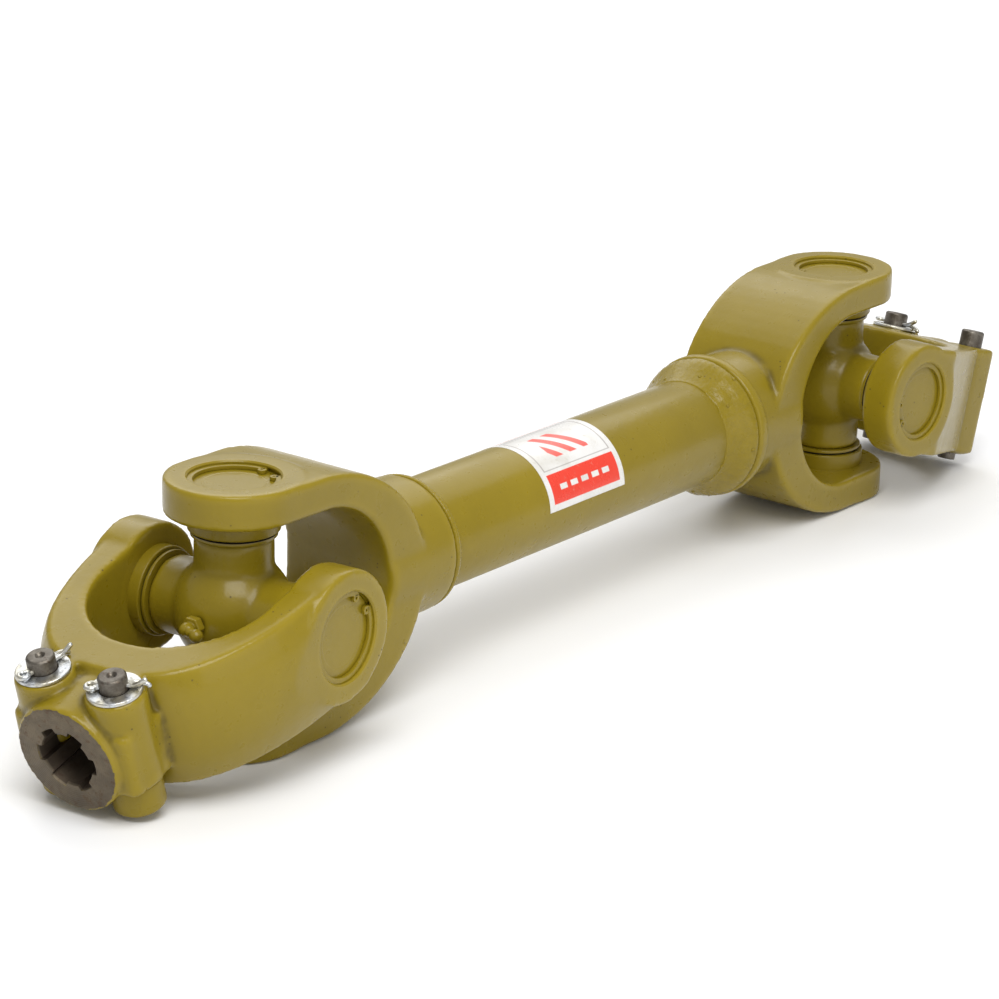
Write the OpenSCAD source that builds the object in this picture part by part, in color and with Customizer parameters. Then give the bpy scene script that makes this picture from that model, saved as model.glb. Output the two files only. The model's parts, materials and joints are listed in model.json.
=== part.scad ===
// Universal joint shaft: a welded tube between two cross joints, with a splined end yoke on each.
// Frame: millimetres, +X along the tube from the near end to the far end, +Z up.
// The origin is the centre of the near splined bore's mouth. The shaft is drawn lying on a floor,
// so both end yokes droop until they touch it.

/* [Shaft] */
// Distance between the two joint centres
joint_spacing = 552; // [420:1:800]
// Outside diameter of the tube
tube_d = 63.5; // [60:0.5:64]
// Wall thickness of the tube
tube_wall = 4; // [2.5:0.5:6]
// Length of the sticker along the tube
sticker_length = 69; // [30:1:120]
// Angle that the sticker wraps round the tube
sticker_wrap = 124; // [40:1:180]

/* [Rest pose] */
// Swing of the near end yoke about the vertical trunnions
near_swing = 4.3; // [-20:0.1:20]
// Droop of the near end yoke below the tube's line
near_droop = 16.3; // [-20:0.1:20]
// Swing of the far end yoke about the vertical trunnions
far_swing = -3; // [-20:0.1:20]
// Droop of the far end yoke below the tube's line
far_droop = 15.5; // [-20:0.1:20]

/* [Tube yokes] */
// Distance from the joint centre to an ear's outer face
ear_reach = 71.5; // [70.5:0.5:75]
// Radius of an ear
ear_r = 36; // [33:0.5:37]
// Half the gap between a tube yoke's ears
tube_gap_half = 52.5; // [51:0.5:54]
// Radius of the round neck
neck_r = 38; // [37:0.5:40]
// Distance from the joint centre to the neck's end
neck_end = 136; // [125:1:150]

/* [Cross and bearings] */
// Diameter of a bearing cup
cup_d = 47.6; // [46.6:0.1:48]
// Length of the cross over its bearing cups
cross_span = 134.9; // [133.9:0.1:135.9]
// Diameter of a needle roller
needle_d = 4; // [3.9:0.05:4]
// Number of needle rollers in a cup
needle_count = 27; // [18:1:27]
// Radius of the cross's round body
body_r = 31; // [28:0.5:33]

/* [End yokes] */
// Half the gap between an end yoke's ears
end_gap_half = 50; // [48:0.5:51]
// Half the height of an end yoke's arms
arm_half_height = 33; // [30:0.5:34]
// Distance from the near joint centre to the hub's end face
near_hub_end = 139; // [136:0.5:145]
// Distance from the far joint centre to the hub's end face
far_hub_end = 120; // [120:0.5:126]
// Distance from the near joint centre to the locking pins
near_pin_station = 118.5; // [116:0.5:120]
// Distance from the far joint centre to the locking pins
far_pin_station = 108; // [107:0.5:108]
// Diameter of a locking pin
pin_d = 14.5; // [12:0.5:14.5]
// Major diameter of the near six-spline bore
near_spline_d = 34.9; // [30:0.1:36]
// Major diameter of the far six-spline bore
far_spline_d = 44.4; // [40:0.1:46]

/* [Hidden] */
$fn = 96;
slack = 0.02;
ends = ["near", "far"];
tube_seats = ["upper", "lower"];
end_seats = ["front", "back"];
function names(middle, seats) = [for (e = ends, s = seats) str(e, middle, s)];

// Colours
paint = [0.50, 0.46, 0.11];
bare_steel = [0.45, 0.42, 0.38];
zinc = [0.72, 0.73, 0.75];
dark_steel = [0.20, 0.19, 0.18];

// Joint centres, seen from the near bore's mouth
near_reach = near_hub_end * cos(near_droop);
near_joint = [near_reach * cos(near_swing), near_reach * sin(near_swing), near_hub_end * sin(near_droop)];
far_joint = near_joint + [joint_spacing, 0, 0];

// Bearing stack, measured outwards from the joint centre
cup_r = cup_d / 2;
cup_end = cross_span / 2;
cup_start = 43.5;
cup_floor = 4.2;
cup_bore_r = 19.8;
seal_thick = 3;
trunnion_r = cup_bore_r - needle_d - 0.1;
trunnion_end = cup_end - cup_floor - 0.4;
shoulder_r = 20.5;
shoulder_end = cup_start - seal_thick - 0.1;
ring_thick = 2.2;
ring_groove_r = cup_r + 1.6;

// Tube and welds
socket_depth = 24;
sticker_start = 2;
sticker_from_middle = -51;
sticker_thick = 0.2;
near_bead = [[0, 0], [5.8, 0], [5.8, 1.5], [4.6, 4], [2.4, 5.6], [0, 6.2]];
far_bead = [[0, 0], [9.4, 0], [9.6, 2.5], [8.8, 5], [6.4, 9.5], [3.4, 14], [1, 18.5], [0, 21]];
far_ring_r = 42.5;
far_ring_start = 128;

// Yoke arms: tube yokes follow an ellipse in side view, the near end yoke is a turned bell,
// and the far end yoke has flat sides that close in on its hub
arm_curve_start = 25;
arm_curve_end = 112;
arm_reach = 70.9;
flat_start = 27;
flat_end = 97;
end_bell_start = 8;
end_bell_extra = 3.5;
end_bell_reach = 106;
tube_gap_centre = 30;
end_gap_centre = 32;
neck_start = 84;
far_reach = 200;

// Hubs and six-spline bores: minor diameter and slot width are shares of the major diameter
near_hub_r = 30;
far_hub_r = 33.2;
hub_start = 86;
bore_start = 70;
spline_minor = 0.851;
spline_slot = 0.249;

// Locking pins: offset from the bore's axis, and heights above it
near_pin_offset = 22.2;
far_pin_offset = 29.3;
boss_r = 15.2;
boss_top = 33.5;
near_block = [15.4, 13.6];
far_block = [12, 12.8];
block_corner = 3.2;
near_block_top = 15.8;
near_block_low = -18;
far_block_low = -33.5;
spot_face_r = 16;
near_head_r = 13.4;
near_head_low = -33.5;
far_head_r = 9.6;
far_head_thick = 7;
far_tip_d = 11;
far_tip_low = -39.5;
pin_clearance = 0.2;
pin_chamfer = 1.8;
near_pin_top = 43;
far_pin_top = 43.5;
washer_r = 14;
washer_thick = 1.8;
split_height = 37.2;

// Cross
oil_way_r = 3;
nipple_r = 3.1;
nipple_turn = 65;

// Places a child at a joint: local +X points along the tube, away from the end yoke
module at_joint(end) {
    if (end == "near") translate(near_joint) children();
    if (end == "far") translate(far_joint) rotate([0, 0, 180]) children();
}

// Places a child on the cross of a joint, which swings about the vertical trunnions
module on_cross(end) {
    at_joint(end) rotate([0, 0, end == "near" ? near_swing : far_swing]) children();
}

// Places a child on an end yoke: local -X points out of the bore, +Z along the locking pins
module on_end_yoke(end) {
    on_cross(end) rotate([0, end == "near" ? -near_droop : -far_droop, 0]) children();
}

// Turns a child that is drawn along +Z onto one of the cross's four trunnions
module on_seat(end, seat) {
    if (seat == "upper") at_joint(end) children();
    if (seat == "lower") at_joint(end) rotate([180, 0, 0]) children();
    if (seat == "front") on_end_yoke(end) rotate([end == "near" ? 90 : -90, 0, 0]) children();
    if (seat == "back") on_end_yoke(end) rotate([end == "near" ? -90 : 90, 0, 0]) children();
}

// Outer curve of a tube yoke's arms: a quarter ellipse on each side of the tube's line
module arm_sides() {
    steps = 16;
    curve = [for (i = [0 : steps]) let (a = 90 * i / steps)
        [arm_curve_start + (arm_curve_end - arm_curve_start) * sin(a), arm_reach * cos(a)]];
    rotate([90, 0, 0])
        linear_extrude(2 * ear_r, center = true)
            for (side = [0, 1]) mirror([0, side]) polygon(concat([[0, 0], [0, arm_reach]], curve));
}

// Bell of the near end yoke: an elliptic shoulder that falls from the arms to the hub
module bell() {
    steps = 12;
    low_r = near_hub_r - 1;
    high_r = ear_reach + end_bell_extra;
    curve = [for (i = [0 : steps]) let (a = 90 * i / steps)
        [low_r + (high_r - low_r) * cos(a), end_bell_start + (end_bell_reach - end_bell_start) * sin(a)]];
    intersection() {
        rotate([0, -90, 0])
            rotate_extrude()
                polygon(concat([[0, 0], [high_r, 0]], curve, [[0, end_bell_reach]]));
        translate([-end_bell_reach - 5, -ear_reach, -arm_half_height])
            cube([end_bell_reach + 5, 2 * ear_reach, 2 * arm_half_height]);
    }
}

// Arms of the far end yoke: flat top, bottom and sides
module flat_arms() {
    foot = far_pin_offset + far_block.y;
    linear_extrude(2 * arm_half_height, center = true)
        polygon([[0, -arm_reach], [-flat_start, -arm_reach], [-flat_end, -foot],
            [-flat_end, foot], [-flat_start, arm_reach], [0, arm_reach]]);
}

// Room between two ears, open towards -X and closed by a half round
module ear_gap(gap_half, centre) {
    wide = 2 * ear_r + 20;
    translate([centre, 0, 0]) rotate([90, 0, 0]) cylinder(r = gap_half, h = wide, center = true);
    translate([centre - far_reach, -wide / 2, -gap_half]) cube([far_reach, wide, 2 * gap_half]);
}

// Bore through both ears for the bearing cups, with grooves for the snap rings
module cup_bores() {
    cylinder(r = cup_r + slack, h = far_reach, center = true);
    for (side = [-1, 1])
        translate([0, 0, side * (cup_end + ring_thick / 2)])
            cylinder(r = ring_groove_r + slack, h = ring_thick + 2 * slack, center = true);
}

module tube_yoke_at_origin() {
    difference() {
        union() {
            cylinder(r = ear_r, h = 2 * ear_reach, center = true);
            arm_sides();
            translate([neck_start, 0, 0]) rotate([0, 90, 0]) cylinder(r = neck_r, h = neck_end - neck_start);
        }
        ear_gap(tube_gap_half, tube_gap_centre);
        cup_bores();
        translate([neck_end - socket_depth, 0, 0]) rotate([0, 90, 0])
            cylinder(d = tube_d + 2 * slack, h = socket_depth + 1);
    }
}

// The far neck ends in a wider ring
module tube_yoke(end) {
    color(paint) at_joint(end) {
        tube_yoke_at_origin();
        if (end == "far")
            translate([far_ring_start, 0, 0]) rotate([0, 90, 0])
                difference() {
                    cylinder(r = far_ring_r, h = neck_end - far_ring_start);
                    translate([0, 0, -1]) cylinder(r = neck_r - 1, h = neck_end - far_ring_start + 2);
                }
    }
}

module shaft_tube() {
    long = joint_spacing - 2 * (neck_end - socket_depth);
    color(paint)
        translate(near_joint + [neck_end - socket_depth, 0, 0])
            rotate([0, 90, 0])
                difference() {
                    cylinder(d = tube_d, h = long);
                    translate([0, 0, -1]) cylinder(d = tube_d - 2 * tube_wall, h = long + 2);
                }
}

// The sticker starts at the tube's front side and wraps up over its top
module sticker() {
    from_joint = joint_spacing / 2 + sticker_from_middle;
    color("white")
        translate(near_joint + [from_joint, 0, 0])
            rotate([0, 90, 0]) rotate([0, 0, -90 - sticker_start - sticker_wrap])
                rotate_extrude(angle = sticker_wrap)
                    translate([tube_d / 2, 0]) square([sticker_thick, sticker_length]);
}

// Ring of weld metal round the tube, against a neck's end: the far one is broad and built up
module weld(end, outline) {
    color(paint)
        at_joint(end) translate([neck_end, 0, 0]) rotate([0, 90, 0])
            rotate_extrude() polygon([for (p = outline) p + [tube_d / 2, 0]]);
}

// Six-spline bore, drawn along X: shaft teeth slide in the six slots
module spline_bore(major_d, low, long) {
    translate([-low - long, 0, 0]) rotate([0, 90, 0]) {
        cylinder(d = major_d * spline_minor, h = long);
        intersection() {
            cylinder(d = major_d, h = long);
            for (a = [0 : 60 : 120])
                rotate([0, 0, a]) translate([-major_d / 2, -major_d * spline_slot / 2, 0])
                    cube([major_d, major_d * spline_slot, long]);
        }
    }
}

// Boss for one locking pin beside the bore: a block with cut outer corners, and round above it
module pin_boss(station, offset, half, low, block_top) {
    cut = half - [block_corner, block_corner];
    translate([-station, offset, low]) {
        linear_extrude(block_top - low)
            polygon([[-half.x, -half.y], [half.x, -half.y], [half.x, cut.y], [cut.x, half.y],
                [-cut.x, half.y], [-half.x, cut.y]]);
        if (block_top < boss_top) cylinder(r = boss_r, h = boss_top - low);
    }
}

// Ears, arms (the child) and a hub, with bearing bores, a splined bore and locking pin holes
module end_yoke_at_origin(spline_d, hub, station, pin_offset, block, block_low, block_top) {
    hub_r = hub[0];
    hub_end = hub[1];
    difference() {
        union() {
            rotate([90, 0, 0]) cylinder(r = ear_r - 1, h = 2 * ear_reach, center = true);
            children();
            translate([-hub_end, 0, 0]) rotate([0, 90, 0]) cylinder(r = hub_r, h = hub_end - hub_start);
            for (side = [0, 1])
                mirror([0, side, 0]) pin_boss(station, pin_offset, block, block_low, block_top);
        }
        mirror([1, 0, 0]) rotate([90, 0, 0]) ear_gap(end_gap_half, end_gap_centre);
        rotate([90, 0, 0]) cup_bores();
        spline_bore(spline_d, bore_start, hub_end - bore_start + 1);
        for (side = [-1, 1])
            translate([-station, side * pin_offset, 0]) {
                cylinder(r = pin_d / 2 + pin_clearance, h = far_reach, center = true);
                translate([0, 0, boss_top]) cylinder(r = spot_face_r, h = 20);
            }
    }
}

// The near yoke's hub is cut back below for the round heads of its pins
module near_end_yoke() {
    color(paint) on_end_yoke("near")
        difference() {
            end_yoke_at_origin(near_spline_d, [near_hub_r, near_hub_end], near_pin_station,
                near_pin_offset, near_block, near_block_low, near_block_top) bell();
            for (side = [-1, 1])
                translate([-near_pin_station, side * near_pin_offset, near_block_low - 30])
                    cylinder(r = near_head_r + 2 * pin_clearance, h = 30);
        }
}

// The far yoke's blocks run its full height, and sink the heads of its pins
module far_end_yoke() {
    color(paint) on_end_yoke("far")
        difference() {
            end_yoke_at_origin(far_spline_d, [far_hub_r, far_hub_end], far_pin_station,
                far_pin_offset, far_block, far_block_low, boss_top) flat_arms();
            for (side = [-1, 1])
                translate([-far_pin_station, side * far_pin_offset, far_block_low - 5])
                    cylinder(r = far_head_r + 2 * pin_clearance, h = far_head_thick + pin_clearance + 5);
        }
}

// Round body with four stepped trunnions and an oil way through them
module cross(end) {
    color(paint) on_cross(end)
        difference() {
            union() {
                sphere(r = body_r);
                for (turn = [0, 90]) rotate([turn, 0, 0]) {
                    cylinder(r = shoulder_r, h = 2 * shoulder_end, center = true);
                    cylinder(r = trunnion_r, h = 2 * trunnion_end, center = true);
                }
            }
            for (turn = [0, 90]) rotate([turn, 0, 0]) cylinder(r = oil_way_r, h = far_reach, center = true);
            rotate([0, -90, 0]) cylinder(r = nipple_r + slack, h = body_r + 10);
        }
}

// Elbow nipple: a stem in the cross, a hexagon, a bend and a ball head
module grease_nipple(end) {
    turn = end == "near" ? nipple_turn : -nipple_turn;
    color(paint) on_cross(end) rotate([0, -90, 0]) {
        translate([0, 0, body_r - 7]) cylinder(r = nipple_r, h = 12);
        translate([0, 0, body_r + 0.2]) cylinder(r = 5.6, h = 5, $fn = 6);
        translate([0, 0, body_r + 8]) {
            sphere(r = 4);
            rotate([turn, 0, 0]) {
                cylinder(r = 3.2, h = 9);
                translate([0, 0, 10.5]) sphere(r = 3.4);
            }
        }
    }
}

module bearing_cup(end, seat) {
    color(paint) on_seat(end, seat)
        difference() {
            translate([0, 0, cup_start]) cylinder(r = cup_r, h = cup_end - cup_start);
            translate([0, 0, cup_start - 1])
                cylinder(r = cup_bore_r, h = cup_end - cup_floor - cup_start + 1);
        }
}

module needles(end, seat) {
    ring_r = trunnion_r + 0.05 + needle_d / 2;
    color(bare_steel) on_seat(end, seat)
        for (i = [0 : needle_count - 1])
            rotate([0, 0, 360 * i / needle_count]) translate([ring_r, 0, cup_start + 0.5])
                cylinder(d = needle_d, h = trunnion_end - cup_start - 1, $fn = 24);
}

module seal(end, seat) {
    color("black") on_seat(end, seat)
        translate([0, 0, cup_start - seal_thick])
            difference() {
                cylinder(r = cup_r - 1.8, h = seal_thick);
                translate([0, 0, -1]) cylinder(r = trunnion_r + 0.08, h = seal_thick + 2);
            }
}

// Snap ring with its gap, lying on the cup inside the ear's groove
module snap_ring(end, seat) {
    color(paint) on_seat(end, seat)
        translate([0, 0, cup_end])
            rotate([0, 0, 20]) rotate_extrude(angle = 324)
                translate([cup_r - 2.6, 0]) square([ring_groove_r - cup_r + 2.6, ring_thick]);
}

// Places a child on a locking pin's axis, at the height of the bore's axis
module at_pin(end, seat) {
    offset = end == "near" ? near_pin_offset : far_pin_offset;
    station = end == "near" ? near_pin_station : far_pin_station;
    side = (end == "near") == (seat == "front") ? -1 : 1;
    on_end_yoke(end) translate([-station, side * offset, 0]) children();
}

// Near pin: a thick round head under its block. Far pin: a sunk head with a tip below it.
module locking_pin(end, seat) {
    near = end == "near";
    low = near ? near_block_low : far_block_low + far_head_thick;
    top = near ? near_pin_top : far_pin_top;
    color(dark_steel) at_pin(end, seat)
        difference() {
            union() {
                if (near) {
                    translate([0, 0, near_head_low]) cylinder(r = near_head_r, h = low - near_head_low);
                } else {
                    translate([0, 0, far_block_low]) cylinder(r = far_head_r, h = far_head_thick);
                    translate([0, 0, far_tip_low])
                        cylinder(d = far_tip_d, h = far_block_low - far_tip_low + 1);
                }
                translate([0, 0, low - 1]) cylinder(d = pin_d, h = top - pin_chamfer - low + 1);
                translate([0, 0, top - pin_chamfer])
                    cylinder(d1 = pin_d, d2 = pin_d - 2 * pin_chamfer, h = pin_chamfer);
            }
            if (near || seat == "back")
                translate([0, 0, split_height]) rotate([0, 90, split_turn(end, seat)])
                    cylinder(r = 2.1, h = 40, center = true);
        }
}

module washer(end, seat) {
    color(zinc) at_pin(end, seat)
        translate([0, 0, boss_top])
            difference() {
                cylinder(r = washer_r, h = washer_thick);
                translate([0, 0, -1]) cylinder(d = pin_d + 4 * pin_clearance, h = washer_thick + 2);
            }
}

function split_turn(end, seat) = end == "far" ? 90 : seat == "front" ? 298 : 346;

// Split pin: an eye, a straight shank through the hole, and two spread tips
module split_pin(end, seat) {
    shank_r = 1.7;
    wire_r = 1;
    straight = 9;
    color(zinc) at_pin(end, seat)
        translate([0, 0, split_height]) rotate([0, 0, split_turn(end, seat)]) {
            translate([-straight, 0, 0]) rotate([0, 90, 0])
                cylinder(r = shank_r, h = 2 * straight, $fn = 24);
            for (side = [-1, 1])
                translate([straight - 2, 0, 0]) rotate([0, 90, side * 22])
                    cylinder(r = wire_r, h = 11, $fn = 24);
            translate([-straight - 2.2, 0, 0])
                rotate_extrude() translate([3, 0]) circle(r = wire_r, $fn = 24);
        }
}

shaft_tube();
sticker();
weld("near", near_bead);  // near_weld
weld("far", far_bead);  // far_weld
near_end_yoke();
far_end_yoke();
for (e = ends) {
    tube_yoke(e);
    cross(e);
    grease_nipple(e);
    for (s = concat(tube_seats, end_seats)) {
        bearing_cup(e, s);
        needles(e, s);
        seal(e, s);
        snap_ring(e, s);
    }
    for (s = end_seats) {
        locking_pin(e, s);
        // The far front pin carries no washer or split pin
        if (e == "near" || s == "back") {
            washer(e, s);
            split_pin(e, s);
        }
    }
}
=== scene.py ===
"""Universal joint shaft: the looks of a painted drive shaft, made around its packed model."""

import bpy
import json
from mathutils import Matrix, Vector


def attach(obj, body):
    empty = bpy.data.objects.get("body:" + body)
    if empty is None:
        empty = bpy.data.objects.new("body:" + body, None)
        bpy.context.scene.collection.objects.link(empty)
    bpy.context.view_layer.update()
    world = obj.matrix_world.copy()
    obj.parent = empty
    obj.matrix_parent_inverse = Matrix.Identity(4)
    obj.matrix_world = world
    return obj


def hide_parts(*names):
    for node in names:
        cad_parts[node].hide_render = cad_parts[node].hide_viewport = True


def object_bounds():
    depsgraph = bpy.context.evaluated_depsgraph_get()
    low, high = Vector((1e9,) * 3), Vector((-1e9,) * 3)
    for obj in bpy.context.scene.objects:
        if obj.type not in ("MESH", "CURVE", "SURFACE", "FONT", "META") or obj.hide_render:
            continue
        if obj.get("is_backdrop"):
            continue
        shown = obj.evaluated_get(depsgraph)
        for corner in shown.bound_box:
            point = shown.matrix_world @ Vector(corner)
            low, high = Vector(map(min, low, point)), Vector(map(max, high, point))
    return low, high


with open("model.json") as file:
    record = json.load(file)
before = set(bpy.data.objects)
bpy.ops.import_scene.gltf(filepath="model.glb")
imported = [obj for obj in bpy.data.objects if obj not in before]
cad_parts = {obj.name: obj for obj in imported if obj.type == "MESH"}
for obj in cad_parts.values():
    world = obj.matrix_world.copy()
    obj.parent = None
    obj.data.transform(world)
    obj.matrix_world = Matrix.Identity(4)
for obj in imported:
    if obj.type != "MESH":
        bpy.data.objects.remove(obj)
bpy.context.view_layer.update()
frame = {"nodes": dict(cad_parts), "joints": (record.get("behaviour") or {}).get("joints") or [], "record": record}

import json
import math
from contextlib import contextmanager

import bmesh
import bpy
import numpy as np
from bpy.props import FloatProperty, FloatVectorProperty, IntProperty, PointerProperty
from mathutils import Matrix, Vector

bl_info = {
    "name": "Universal joint shaft",
    "version": (1, 0, 0),
    "blender": (4, 5, 0),
    "location": "View3D > Sidebar > Joint shaft",
    "description": "Makes the castings, bearings, fasteners, welds and stage of a painted drive shaft",
    "category": "Object",
}

MM = 0.001
ENDS = ("near", "far")
TUBE_SEATS = ("upper", "lower")
YOKE_SEATS = ("front", "back")
SEATS = TUBE_SEATS + YOKE_SEATS
UP = Vector((0, 0, 1))
TUBE_BODY = "tube_shaft"

# Sizes that are hidden inside the packed parts, in metres
TUBE_WALL = 4.0 * MM
CUP_WALL = 4.0 * MM
CUP_FLOOR = 4.2 * MM
TUBE_EAR_INNER = 52.5 * MM
END_EAR_INNER = 50.0 * MM
GAP_BASE = 82.0 * MM
NEAR_BLOCK_LOW = -18.0 * MM
PIN_R = 7.25 * MM
SPOT_R = 16.0 * MM
FAR_HEAD = 7.0 * MM
FAR_TIP_R = 5.5 * MM
CROSS_R = 31.0 * MM
CLEARANCE = 0.02 * MM
WELD_DISTANCE = 1e-7
HOLE_CLEARANCE = 0.2 * MM
HEAD_CLEARANCE = 0.4 * MM
SUNK = 0.3 * MM

# Shares of a spline's outer radius: its minor radius, and half of a slot's width
SPLINE_MINOR = 0.851
SPLINE_SLOT = 0.249
SPLINE_FLARE = 1.075

# Turns of the snap rings' gaps in radians, and of the split pins' eyes in degrees
RING_TURN = {"upper": -0.35, "lower": 0.6, "front": 0.5, "back": 0.9}
SPLIT_TURN = {"near_front": 298, "near_back": 346, "far_back": 90}

# Linear colours of stains, wear and print, and of the painted shade in the splined bore
GRIT = (0.045, 0.030, 0.012)
WORN_STEEL = (0.155, 0.125, 0.085)
HUB_RUST = (0.085, 0.045, 0.022)
BORE_PAINTED_SHADE = (0.050, 0.034, 0.026)
PIN_DARK, PIN_LIGHT = (0.095, 0.082, 0.066), (0.190, 0.172, 0.145)
PIN_RUST = (0.060, 0.034, 0.020)
ZINC_STRAW, ZINC_DULL = (0.60, 0.57, 0.47), (0.20, 0.19, 0.17)
GROUND_STEEL, GREASE = (0.52, 0.52, 0.53), (0.22, 0.15, 0.06)
RUBBER, RUBBER_DUST = (0.010, 0.008, 0.007), (0.050, 0.036, 0.022)
VINYL, VINYL_AGED = (0.72, 0.71, 0.69), (0.58, 0.56, 0.51)
VINYL_SCUFF = (0.42, 0.38, 0.28)
FRAME_INK, RULE_INK = (0.30, 0.27, 0.25), (0.10, 0.09, 0.09)
PANEL_INK, LINE_INK = (0.72, 0.28, 0.24), (0.45, 0.20, 0.18)
FLOOR_DARK, FLOOR_LIGHT = (0.86, 0.86, 0.86), (0.89, 0.89, 0.89)

# The enamel's clear coat, the height of its skin, and how strongly that shows
COAT = 0.12
COAT_ROUGHNESS = 0.12
SKIN_HEIGHT = 0.35 * MM
SKIN_STRENGTH = 0.55

# The castings' uneven skin: how many waves, their lengths, and what brings their sum near to 1
WAVES = 14
WAVE_LENGTHS = (24, 70)
WAVE_SUM = 3.7

# The bare hub: how ragged the paint's edge is, how thick its band, and how deep the bore goes
RAGGED = 0.35 * MM
FACE_BAND = 0.45 * MM
BORE_MARGIN = 0.4 * MM
BORE_REACH = 80 * MM

# The camera: its turn, dip and roll in degrees, and its place from the shaft's middle
CAMERA_ANGLES = (37.22, 19.06, -1.48)
CAMERA_OFFSET = (-1.62204, -1.19047, 0.66089)
CAMERA_SHIFT = 0.0381
FLOOR_HALF = 6.0


# ---------------------------------------------------------------- places read from the frame

def joint_place(name):
    """Where a joint's axis passes, in the row frame."""
    found = [joint for joint in frame["joints"] if joint["name"] == name]
    return Vector(found[0]["pos_m"])


def mount(name):
    """A mount's place and axis."""
    found = [item for item in frame["record"]["mounts"] if item["name"] == name]
    return Vector(found[0]["pos_m"]), Vector(found[0]["axis"]).normalized()


def placed(x, y, z, at):
    """A matrix whose columns are three directions and a place."""
    columns = Matrix((x, y, z)).transposed()
    return Matrix.Translation(at) @ columns.to_4x4()


def joint_centre(end):
    return joint_place(end + "_cross_swing")


def tube_yoke_frame(end):
    """Local +X runs from the joint along the tube, and +Z is up."""
    x = Vector((1, 0, 0)) if end == "near" else Vector((-1, 0, 0))
    return placed(x, UP.cross(x), UP, joint_centre(end))


def end_yoke_frame(end):
    """Local -X runs from the joint out of the splined bore, and +Z along the locking pins."""
    x = -mount(end + "_bore")[1]
    y = UP.cross(x).normalized()
    return placed(x, y, x.cross(y), joint_centre(end))


def cross_frame(end):
    """The cross swings about the vertical only, so its +X is level."""
    y = end_yoke_frame(end).col[1].to_3d()
    return placed(y.cross(UP), y, UP, joint_centre(end))


def seat_frame(end, seat):
    """Local +Z runs out along one of the cross's four trunnions."""
    if seat in TUBE_SEATS:
        turn = 0 if seat == "upper" else math.pi
        return tube_yoke_frame(end) @ Matrix.Rotation(turn, 4, "X")
    return end_yoke_frame(end) @ Matrix.Rotation(-side_of(end, seat) * math.pi / 2, 4, "X")


def side_of(end, seat):
    """Which way along its end yoke's local Y a front or back part lies."""
    return -1 if (end == "near") == (seat == "front") else 1


def pin_frame(end, side, height=0):
    """Where a locking pin stands on its end yoke, at a height along the pin."""
    at = (SIZES[end + "_pin_x"], side * SIZES[end + "_pin_y"], height)
    return end_yoke_frame(end) @ Matrix.Translation(at)


def end_body(end):
    return end + "_end_yoke_body"


def cross_body(end):
    return end + "_cross_body"


def seat_body(end, seat):
    return TUBE_BODY if seat in TUBE_SEATS else end_body(end)


def local_box(node, placing):
    """Lowest and highest corners of a CAD node in a placed frame."""
    inverse = placing.inverted()
    points = np.array([inverse @ v.co for v in frame["nodes"][node].data.vertices])
    return points.min(0), points.max(0)


def read_sizes():
    """Sizes of the CAD model's parts that the looks follow."""
    sizes = {}
    low, high = local_box("near_cup_upper", seat_frame("near", "upper"))
    sizes["cup_r"] = high[0]
    sizes["cup_start"], sizes["cup_end"] = low[2], high[2]
    low, high = local_box("near_snap_ring_upper", seat_frame("near", "upper"))
    sizes["ring_r"] = max(abs(low[0]), high[0])
    sizes["ring_end"] = high[2]
    low, high = local_box("shaft_tube", tube_yoke_frame("near"))
    sizes["tube_r"] = high[1]
    sizes["tube_start"], sizes["tube_end"] = low[0], high[0]
    low, high = local_box("near_tube_yoke", tube_yoke_frame("near"))
    sizes["neck_end"], sizes["ear_reach"], sizes["ear_r"] = high[0], high[2], -low[0]
    low, high = local_box("sticker", tube_yoke_frame("near"))
    sizes["sticker_start"], sizes["sticker_end"] = low[0], high[0]
    sizes["sticker_r"] = high[2]
    for end in ENDS:
        placing = end_yoke_frame(end)
        minor = frame["record"]["mounts"][ENDS.index(end)]["dims"]["r_mm"] * MM
        sizes["spline_" + end] = minor / SPLINE_MINOR
        low, high = local_box(end + "_end_yoke", placing)
        sizes[end + "_hub_end"] = -low[0]
        sizes[end + "_block_low"] = NEAR_BLOCK_LOW if end == "near" else low[2]
        low, high = local_box(end + "_locking_pin_back", placing)
        sizes[end + "_pin_low"], sizes[end + "_pin_top"] = low[2], high[2]
        sizes[end + "_pin_x"] = (low[0] + high[0]) / 2
        sizes[end + "_pin_y"] = abs(low[1] + high[1]) / 2
        sizes[end + "_pin_head_r"] = (high[0] - low[0]) / 2
        low, high = local_box(end + "_washer_back", placing)
        sizes[end + "_washer_low"], sizes[end + "_washer_top"] = low[2], high[2]
        sizes["washer_r"] = (high[0] - low[0]) / 2
    return sizes


SIZES = read_sizes()


# ---------------------------------------------------------------- settings a user would change

class CastingSettings(bpy.types.PropertyGroup):
    """How the cast yokes and crosses are finished"""
    voxel: FloatProperty(name="Voxel", description="Grain of the rebuilt casting",
                         default=1.15 * MM, min=0.5 * MM, max=4 * MM, unit="LENGTH")
    passes: IntProperty(name="Rounding passes", description="How far cast edges are rounded",
                        default=9, min=0, max=80)
    waviness: FloatProperty(name="Waviness", description="Depth of the casting's uneven skin",
                            default=0.07 * MM, min=0, max=MM, unit="LENGTH")


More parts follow.
